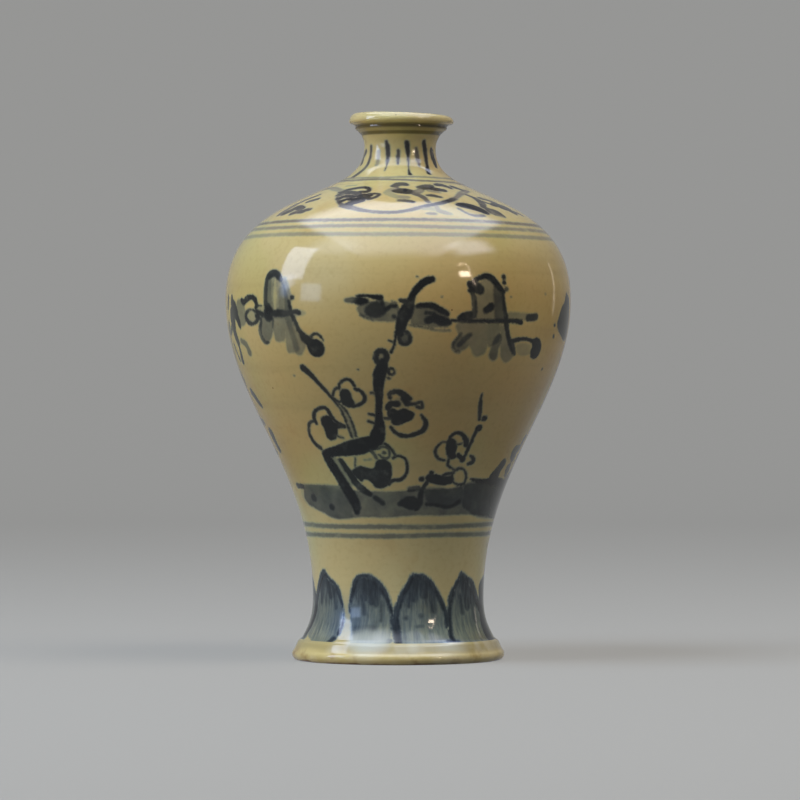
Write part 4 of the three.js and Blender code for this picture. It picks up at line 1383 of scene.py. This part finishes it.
def glaze_material():
    """Cobalt painting under a glossy yellowish glaze, with a painted reflection low on the lappets, and
    bare clay under the foot.
    """
    n = Nodes("cobalt_under_glaze")
    parts = n.add("SeparateXYZ")
    n.feed(parts.inputs[0], n.place())
    height = parts.outputs[2]
    level = n.math("ADD", height, n.waver(n.noise(LEVEL_SCALE), LEVEL_WAVER))

    colour = n.mix(1.0, glaze_colour(n, level, height), cobalt_filter(n, level), "MULTIPLY")
    # Bluish-white spots low on the lappets: painted reflection.
    for pixel, radius in LAPPET_REFLECTION_SPOTS:
        share = n.math("MULTIPLY", n.near(pixel, radius), LAPPET_REFLECTION_SHARE)
        colour = n.mix(share, colour, LAPPET_REFLECTION_COLOUR)
    bare = n.attribute("bare")
    clay = n.mix(n.noise(BARE_SCALE, 4), BARE_PALE, BARE_DARK)
    n.feed(n.shader.inputs["Base Color"], n.mix(bare, colour, clay))
    rougher = n.math("MULTIPLY", bare, BARE_ROUGHNESS)
    n.feed(n.shader.inputs["Roughness"], n.math("ADD", GLAZE_ROUGHNESS, rougher))
    n.shader.inputs["IOR"].default_value = GLAZE_IOR
    n.bump(n.noise(RIPPLE_SCALE, 2, RIPPLE_STRETCH), RIPPLE_STRENGTH, RIPPLE_DEPTH)
    return n.material


def clay_material(name, pale, dark, roughness):
    """Bare fired clay with grains."""
    n = Nodes(name)
    grains = n.noise(GRAIN_SCALE, 4)
    colour = n.mix(n.between(n.noise(MOTTLE_SCALE), *MOTTLES), pale, dark)
    colour = n.mix(n.between(grains, *GRAINS), colour, dark)
    n.feed(n.shader.inputs["Base Color"], colour)
    n.shader.inputs["Roughness"].default_value = roughness
    n.bump(grains, GRAIN_STRENGTH, GRAIN_DEPTH)
    return n.material


GLAZED = glaze_material()
SLIP = clay_material("fired_slip", srgb(205, 192, 158), srgb(176, 152, 108), 0.8)
CLAY = clay_material("bare_clay", srgb(178, 118, 66), srgb(132, 78, 38), 0.85)


# Turned pieces. Columns stand closer together at the front, and the skin is laid out flat for
# baking in three strips above each other, each a third of the way round.

# Columns round a piece, and how far they crowd to the front
NECK_SIDES = 360
BODY_SIDES = 600
FOOT_SIDES = 480
HIDDEN_SIDES = 240
FRONT_CROWDING = 0.35

# Distances between the rows of points: on the outer faces, which carry the painting, and inside
LIP_SPACING = 0.0005
COLLAR_SPACING = 0.0004
NECK_SPACING = 0.0005
SHOULDER_SPACING = 0.00075
BELLY_SPACING = 0.00068
FOOT_SPACING = 0.0006
FOOT_RIM_SPACING = 0.0005
NECK_INNER_SPACING = 0.002
BODY_INNER_SPACING = 0.007
FOOT_INNER_SPACING = 0.005

# Laying flat, sharp edges and welding, and where the foot is bare of glaze
STRIPS = 3
STRIP_MARGIN = 0.012
INNER_SHARE = 0.25
SHARP_EDGE = math.radians(50)
WELD_DISTANCE = 1e-6
BARE_HEIGHT = FOOT_RECESS_DEPTH + MM
BARE_RADIUS = FOOT_RADIUS - FOOT_EDGE_RADIUS


def column_angles(sides):
    """Angles from the front of the columns round a piece."""
    share = 2 * math.pi * np.arange(sides) / sides
    return share - math.pi + FRONT_CROWDING * np.sin(share)


def lay_flat(mesh, profile, sides, on_outside):
    """Lays the skin out in strips, with the outside given more room."""
    rows = len(profile)
    steps = np.linalg.norm(np.roll(profile, -1, axis=0) - profile, axis=1)
    steps *= np.where(on_outside & np.roll(on_outside, -1), 1, INNER_SHARE)
    up = np.concatenate([[0], np.cumsum(steps)]) / steps.sum()
    column, row = np.meshgrid(np.arange(sides), np.arange(rows), indexing="ij")
    strip, place_in = np.divmod(column, sides // STRIPS)
    room = 1 - 2 * STRIP_MARGIN
    corners = []
    for right, over in ((0, 0), (0, 1), (1, 1), (1, 0)):
        across = (place_in + right) / (sides // STRIPS)
        corners.append(np.stack([STRIP_MARGIN + room * across,
                                 (strip + STRIP_MARGIN + room * up[row + over]) / STRIPS], axis=-1))
    spots = np.stack(corners, axis=2).reshape(-1)
    mesh.uv_layers.new(name="OFBake").data.foreach_set("uv", spots)


def store(mesh, name, values):
    """Keeps a number at each vertex."""
    mesh.attributes.new(name, "FLOAT", "POINT").data.foreach_set("value", values)


def turned(name, profile, sides, material, painted):
    """A solid turned about the axis from a closed profile, listed from the inside over the top."""
    profile = np.array(profile)
    rows = len(profile)
    turn = column_angles(sides)[:, None]
    points = np.stack([
        profile[:, 0] * np.sin(turn), -profile[:, 0] * np.cos(turn),
        np.broadcast_to(profile[:, 1], (sides, rows)),
    ], axis=-1).reshape(-1, 3)
    column, row = np.meshgrid(np.arange(sides), np.arange(rows), indexing="ij")
    beside, below = (column + 1) % sides, (row + 1) % rows
    faces = np.stack([column * rows + row, column * rows + below,
                      beside * rows + below, beside * rows + row], axis=-1).reshape(-1, 4)
    mesh = bpy.data.meshes.new(name)
    mesh.from_pydata(leaning(points).tolist(), [], faces.tolist())
    mesh.polygons.foreach_set("use_smooth", np.ones(len(faces), dtype=bool))
    if painted:
        for layer, painting in (("line", lines), ("wash", washes), ("dark", darks)):
            edge, tone = painting.lay(points)
            store(mesh, layer + "_edge", edge)
            store(mesh, layer + "_tone", tone)
        bare = (points[:, 2] < BARE_HEIGHT) & (np.hypot(points[:, 0], points[:, 1]) < BARE_RADIUS)
        store(mesh, "bare", bare.astype(float))
        off_skin = np.abs(profile[:, 0] - radius_at(OUTER, profile[:, 1]))
        lay_flat(mesh, profile, sides, off_skin < SKIN)
    mesh.materials.append(material)
    weld(mesh)
    mesh.set_sharp_from_angle(angle=SHARP_EDGE)
    piece = bpy.data.objects.new(name, mesh)
    bpy.context.collection.objects.link(piece)
    return piece


def leaning(points):
    """Points moved as the neck leans and the lip tips, above the neck's joint."""
    moved = points.copy()
    moved[:, 0] += lean(points[:, 2])
    share = (points[:, 2] - COLLAR_BOTTOM) / (TOTAL_HEIGHT - COLLAR_BOTTOM)
    tip = np.interp(share, LIP_TIP_SHARES, (0, LIP_TIP_BOTTOM, LIP_TIP_TOP))
    moved[:, 2] -= points[:, 0] * tip
    return moved


def weld(mesh):
    """Joins points that meet on the axis."""
    shape = bmesh.new()
    shape.from_mesh(mesh)
    bmesh.ops.remove_doubles(shape, verts=shape.verts, dist=WELD_DISTANCE)
    shape.to_mesh(mesh)
    shape.free()


def section(name, node, profile, sides, material=GLAZED, painted=True):
    """A turned piece that stands for a CAD node."""
    piece = turned(name, profile, sides, material, painted)
    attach(piece, "root")
    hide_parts(node)


def joint_step(height, way):
    """The step at a joint beside the skin, set back from it, down or up to the bed for the slip."""
    outer = radius_at(OUTER, height) - SLIP_SETBACK
    bed = height + way * SLIP_THICKNESS / 2
    return [(outer, height), (outer, bed)]


def make_mouth_and_neck():
    """The rolled lip, the turned collar and the neck."""
    roll = LIP_HEIGHT - LIP_EDGE_RADIUS
    roll_middle = LIP_BOTTOM + LIP_EDGE_RADIUS
    bore = NECK_RADIUS - NECK_WALL
    bed = NECK_JOINT_HEIGHT + SLIP_THICKNESS / 2
    inner = spaced(stretch(INNER, NECK_WAIST_HEIGHT, bed), NECK_INNER_SPACING)[::-1]
    over = spaced(np.concatenate([
        arc(bore + MOUTH_EDGE_RADIUS, TOTAL_HEIGHT - MOUTH_EDGE_RADIUS, MOUTH_EDGE_RADIUS, 180, 90),
        arc(LIP_RADIUS - roll, roll_middle, roll, 90, 0),
        arc(LIP_RADIUS - LIP_EDGE_RADIUS, roll_middle, LIP_EDGE_RADIUS, 0, -90),
    ]), LIP_SPACING)
    taper = COLLAR_RADIUS - COLLAR_TAPER
    moulding = [(COLLAR_RADIUS + out, LIP_BOTTOM - down) for out, down in COLLAR_MOULDING]
    moulding += [(taper + out, COLLAR_BOTTOM + up) for out, up in COLLAR_FOOT_MOULDING]
    collar = spaced(np.array(moulding), COLLAR_SPACING)
    outer = spaced(stretch(OUTER, COLLAR_BOTTOM - COLLAR_STEP, NECK_JOINT_HEIGHT), NECK_SPACING)
    profile = np.concatenate([inner, over, collar, outer, joint_step(NECK_JOINT_HEIGHT, 1)])
    section("mouth_and_neck_glazed", "mouth_and_neck", profile, NECK_SIDES)


def make_body_ring(name, node, top, bottom, spacing):
    """A thrown ring of the body between two joints."""
    bed_top = top - SLIP_THICKNESS / 2
    bed_bottom = bottom + SLIP_THICKNESS / 2
    inner = spaced(stretch(INNER, bed_top, bed_bottom), BODY_INNER_SPACING)[::-1]
    outer = spaced(stretch(OUTER, top, bottom), spacing)
    profile = np.concatenate([inner, joint_step(top, -1)[::-1], outer, joint_step(bottom, 1)])
    section(name, node, profile, BODY_SIDES)


def make_foot():
    """The waist, the flared rim and the foot ring."""
    top = WAIST_JOINT_HEIGHT
    edge = FOOT_RADIUS - FOOT_EDGE_RADIUS
    ring = edge - FOOT_RING_WIDTH
    ledge = INNER_WAIST_RADIUS - BASE_LEDGE_WIDTH
    bed = top - SLIP_THICKNESS / 2
    inner = spaced(stretch(INNER, bed, LEDGE_TOP), FOOT_INNER_SPACING)[::-1]
    outer = spaced(stretch(OUTER, top, FOOT_RIM_HEIGHT), FOOT_SPACING)
    rim = spaced(np.concatenate([
        [(FOOT_RADIUS - FOOT_RIM_INSET + FOOT_RIM_START, FOOT_RIM_HEIGHT - FOOT_RIM_START),
         (FOOT_RADIUS - FOOT_SHELF_INSET, FOOT_SHELF_HEIGHT)],
        arc(edge, FOOT_EDGE_RADIUS, FOOT_EDGE_RADIUS, FOOT_EDGE_START, -90),
    ]), FOOT_RIM_SPACING)
    under = [(ring, 0), (ring - FOOT_RECESS_TAPER, FOOT_RECESS_DEPTH), (ledge, FOOT_RECESS_DEPTH),
             (ledge, LEDGE_TOP)]
    profile = np.concatenate([inner, joint_step(top, -1)[::-1], outer, rim, under])
    section("foot_section_glazed", "foot_section", profile, FOOT_SIDES)


def make_wall_slip(name, node, height):
    """A layer of slip at a joint, with the bead that it squeezed out inside."""
    top = height + SLIP_THICKNESS / 2
    bottom = height - SLIP_THICKNESS / 2
    inner_top, inner_bottom = radius_at(INNER, top), radius_at(INNER, bottom)
    outer = radius_at(OUTER, height) - SLIP_SETBACK
    bead = min(inner_top, inner_bottom) - SLIP_BEAD
    profile = [(inner_bottom, bottom), (bead, height), (inner_top, top),
               (outer, top), (outer, bottom)]
    section(name, node, profile, HIDDEN_SIDES, SLIP, False)


def make_base():
    """The slab that closes the foot, and the slip bed under it."""
    ledge = INNER_WAIST_RADIUS - BASE_LEDGE_WIDTH
    rim = INNER_WAIST_RADIUS - BASE_DISC_EDGE_GAP
    bed = [(ledge, LEDGE_TOP), (ledge, DISC_BOTTOM), (rim, DISC_BOTTOM), (rim, LEDGE_TOP)]
    section("base_slip_bed", "luting_slip_base", bed, HIDDEN_SIDES, SLIP, False)
    disc = [(0, DISC_BOTTOM), (0, DISC_TOP), (rim - BASE_DISC_BEVEL, DISC_TOP),
            (rim, DISC_TOP - BASE_DISC_BEVEL), (rim, DISC_BOTTOM)]
    section("base_disc_clay", "base_disc", disc, HIDDEN_SIDES, CLAY, False)


make_mouth_and_neck()
make_body_ring("shoulder_section_glazed", "shoulder_section", NECK_JOINT_HEIGHT,
               BELLY_JOINT_HEIGHT, SHOULDER_SPACING)
make_body_ring("belly_section_glazed", "belly_section", BELLY_JOINT_HEIGHT,
               WAIST_JOINT_HEIGHT, BELLY_SPACING)
make_foot()
make_wall_slip("neck_slip", "luting_slip_neck", NECK_JOINT_HEIGHT)
make_wall_slip("belly_slip", "luting_slip_belly", BELLY_JOINT_HEIGHT)
make_wall_slip("waist_slip", "luting_slip_waist", WAIST_JOINT_HEIGHT)
make_base()


# Floor, light and camera

STAGE_COLOUR = (0.17, 0.17, 0.166, 1)
STAGE_ROUGHNESS = 0.9
STAGE_GLOW_COLOUR = (1, 1, 0.98, 1)
STAGE_GLOW = 0.27
STAGE_FLOOR = 2.4
STAGE_BEND = 0.8
STAGE_TOP = 3.2
STAGE_SIDES = 96
STAGE_BEND_STEPS = 16


def make_stage():
    """A round floor that bends up into a wall, with a pale glow for the eye and for gloss."""
    n = Nodes("pale_stage")
    rays = n.add("LightPath").outputs
    seen = n.math("MAXIMUM", rays["Is Camera Ray"], rays["Is Glossy Ray"])
    seen = n.math("MAXIMUM", seen, rays["Is Transmission Ray"])
    n.shader.inputs["Base Color"].default_value = STAGE_COLOUR
    n.shader.inputs["Roughness"].default_value = STAGE_ROUGHNESS
    n.shader.inputs["Specular IOR Level"].default_value = 0
    n.shader.inputs["Emission Color"].default_value = STAGE_GLOW_COLOUR
    n.feed(n.shader.inputs["Emission Strength"], n.math("MULTIPLY", seen, STAGE_GLOW))
    turn = np.linspace(-math.pi / 2, 0, STAGE_BEND_STEPS)
    run = [(0, 0)] + [(STAGE_FLOOR + STAGE_BEND * math.cos(a), STAGE_BEND * (1 + math.sin(a)))
                      for a in turn] + [(STAGE_FLOOR + STAGE_BEND, STAGE_TOP)]
    points = [(r * math.cos(a), r * math.sin(a), z) for r, z in run
              for a in np.linspace(0, 2 * math.pi, STAGE_SIDES, endpoint=False)]
    faces = [(i * STAGE_SIDES + k, i * STAGE_SIDES + (k + 1) % STAGE_SIDES,
              (i + 1) * STAGE_SIDES + (k + 1) % STAGE_SIDES, (i + 1) * STAGE_SIDES + k)
             for i in range(len(run) - 1) for k in range(STAGE_SIDES)]
    mesh = bpy.data.meshes.new("stage")
    mesh.from_pydata(points, [], faces)
    weld(mesh)
    mesh.polygons.foreach_set("use_smooth", np.ones(len(mesh.polygons), dtype=bool))
    mesh.materials.append(n.material)
    stage = bpy.data.objects.new("stage", mesh)
    bpy.context.collection.objects.link(stage)


LAMP_AIM = Vector((0, 0, 0.13))


def make_lamp(name, azimuth, elevation, distance, size, power, colour, roll=0.0, gleam=False):
    """A rectangular lamp aimed at the vase. A gleam only shows in the gloss, the others only light."""
    data = bpy.data.lights.new(name, "AREA")
    data.shape = "RECTANGLE"
    data.size, data.size_y = size
    data.energy = power
    data.color = colour
    side, up = math.radians(azimuth), math.radians(elevation)
    way = Vector((math.sin(side) * math.cos(up), -math.cos(side) * math.cos(up), math.sin(up)))
    lamp = bpy.data.objects.new(name, data)
    lamp.location = LAMP_AIM + way * distance
    turn = (-way).to_track_quat("-Z", "Y") @ Quaternion((0, 0, 1), math.radians(roll))
    lamp.rotation_euler = turn.to_euler()
    lamp.visible_camera = False
    lamp.visible_glossy = gleam
    lamp.visible_diffuse = not gleam
    bpy.context.collection.objects.link(lamp)
    return lamp


def soften(data, shares):
    """Fades a lamp out towards its edges, over shares of its width and height."""
    data.use_nodes = True
    nodes, links = data.node_tree.nodes, data.node_tree.links
    parts = nodes.new("ShaderNodeSeparateXYZ")
    links.new(nodes.new("ShaderNodeNewGeometry").outputs["Parametric"], parts.inputs[0])
    fades = []
    for way, share in zip(parts.outputs, shares):
        inward = nodes.new("ShaderNodeMath")
        inward.operation = "PINGPONG"
        inward.inputs[1].default_value = 0.5
        fade = nodes.new("ShaderNodeMapRange")
        fade.interpolation_type = "SMOOTHSTEP"
        fade.inputs[2].default_value = share
        links.new(way, inward.inputs[0])
        links.new(inward.outputs[0], fade.inputs[0])
        fades.append(fade.outputs[0])
    both = nodes.new("ShaderNodeMath")
    both.operation = "MULTIPLY"
    links.new(fades[0], both.inputs[0])
    links.new(fades[1], both.inputs[1])
    links.new(both.outputs[0], nodes["Emission"].inputs["Strength"])


# Lamps that only light: azimuth, elevation, distance, width and height, power and colour
LAMPS = {
    "cool_left": (-60, 55, 1.8, (1, 1), 25, (0.85, 1, 1.2)),
    "warm_right": (60, 55, 1.8, (1, 1), 15.5, (1.12, 1, 0.86)),
    "warm_low": (-60, 2, 1.8, (0.8, 0.8), 10.5, (1.2, 1, 0.75)),
}
WORLD_STRENGTH = 0.05
CEILING_SHIFT = Vector((0.02, -0.25, 0))

# Gleams in the gloss: azimuth, elevation, distance, width and height, roll, colour and soft edge
GLEAMS = {
    "ceiling": (0, 90, 1.87, (2.55, 4.1), 0, (3.5, 3.75, 4.6), (0.08, 0.22)),
    "ceiling_left": (-58, 50, 1.8, (1.3, 0.9), 0, (2.2, 2.5, 3.2), (0.45, 0.45)),
    "ceiling_right": (64, 48, 1.8, (1.2, 0.7), 0, (5.6, 5.7, 6.8), (0.35, 0.35)),
    "window": (-77.5, 29, 1.6, (0.54, 0.9), 10, (5.5, 6.3, 8.5), (0.04, 0.04)),
    "window_foot": (-79, 8.5, 1.6, (0.34, 0.42), 0, (2.3, 3.2, 5.4), (0.4, 0.4)),
    "pane": (-58.6, 5.7, 1.6, (0.46, 0.38), 0, (2.3, 3.1, 4.6), (0.1, 0.1)),
    "smear": (-77, 13, 1.6, (0.46, 0.34), 12, (2.6, 3.2, 4.6), (0.35, 0.35)),
    "spot": (45.6, 19.6, 1.8, (0.27, 0.2), 0, (36, 29, 22), (0.15, 0.15)),
    "spot_side": (44.3, 30, 1.8, (0.05, 0.24), -46, (20, 15, 11), (0.3, 0.3)),
    "spot_back": (48.6, 27.9, 1.8, (0.045, 0.36), 10, (20, 15, 11), (0.3, 0.3)),
    "spot_tail": (50.7, 13.8, 1.8, (0.035, 0.27), 14, (20, 15, 11), (0.3, 0.3)),
    "thread": (125, 8, 1.6, (0.03, 0.64), -10, (5, 4.3, 3.6), (0.3, 0.1)),
}


def make_lights():
    """Soft cool light from the upper left, warm light from the right and low left, and gleams."""
    for name, values in LAMPS.items():
        make_lamp(name, *values)
    for name, (azimuth, elevation, distance, size, roll, colour, soft) in GLEAMS.items():
        power = size[0] * size[1] * math.pi
        lamp = make_lamp(name, azimuth, elevation, distance, size, power, colour, roll, True)
        soften(lamp.data, soft)
    bpy.data.objects["ceiling"].location += CEILING_SHIFT
    world = bpy.data.worlds.new("surround")
    world.use_nodes = True
    world.node_tree.nodes["Background"].inputs["Strength"].default_value = WORLD_STRENGTH
    bpy.context.scene.world = world


def make_camera():
    """A camera at the reference's viewing angle."""
    data = bpy.data.cameras.new("camera")
    data.sensor_width = SENSOR_WIDTH
    data.lens = FOCAL_PIXELS * SENSOR_WIDTH / IMAGE_PIXELS
    data.clip_end = CAMERA_REACH
    camera = bpy.data.objects.new("camera", data)
    aside = (IMAGE_PIXELS / 2 - AXIS_PIXEL) * EYE_DISTANCE / FOCAL_PIXELS
    camera.location = (aside, -EYE_DISTANCE, EYE_HEIGHT)
    tilt = math.atan((EYE_PIXEL - IMAGE_PIXELS / 2) / FOCAL_PIXELS)
    camera.rotation_euler = (math.pi / 2 + tilt, 0, 0)
    bpy.context.collection.objects.link(camera)
    bpy.context.scene.camera = camera


make_stage()
make_lights()
make_camera()
bpy.context.scene.view_settings.view_transform = "Standard"
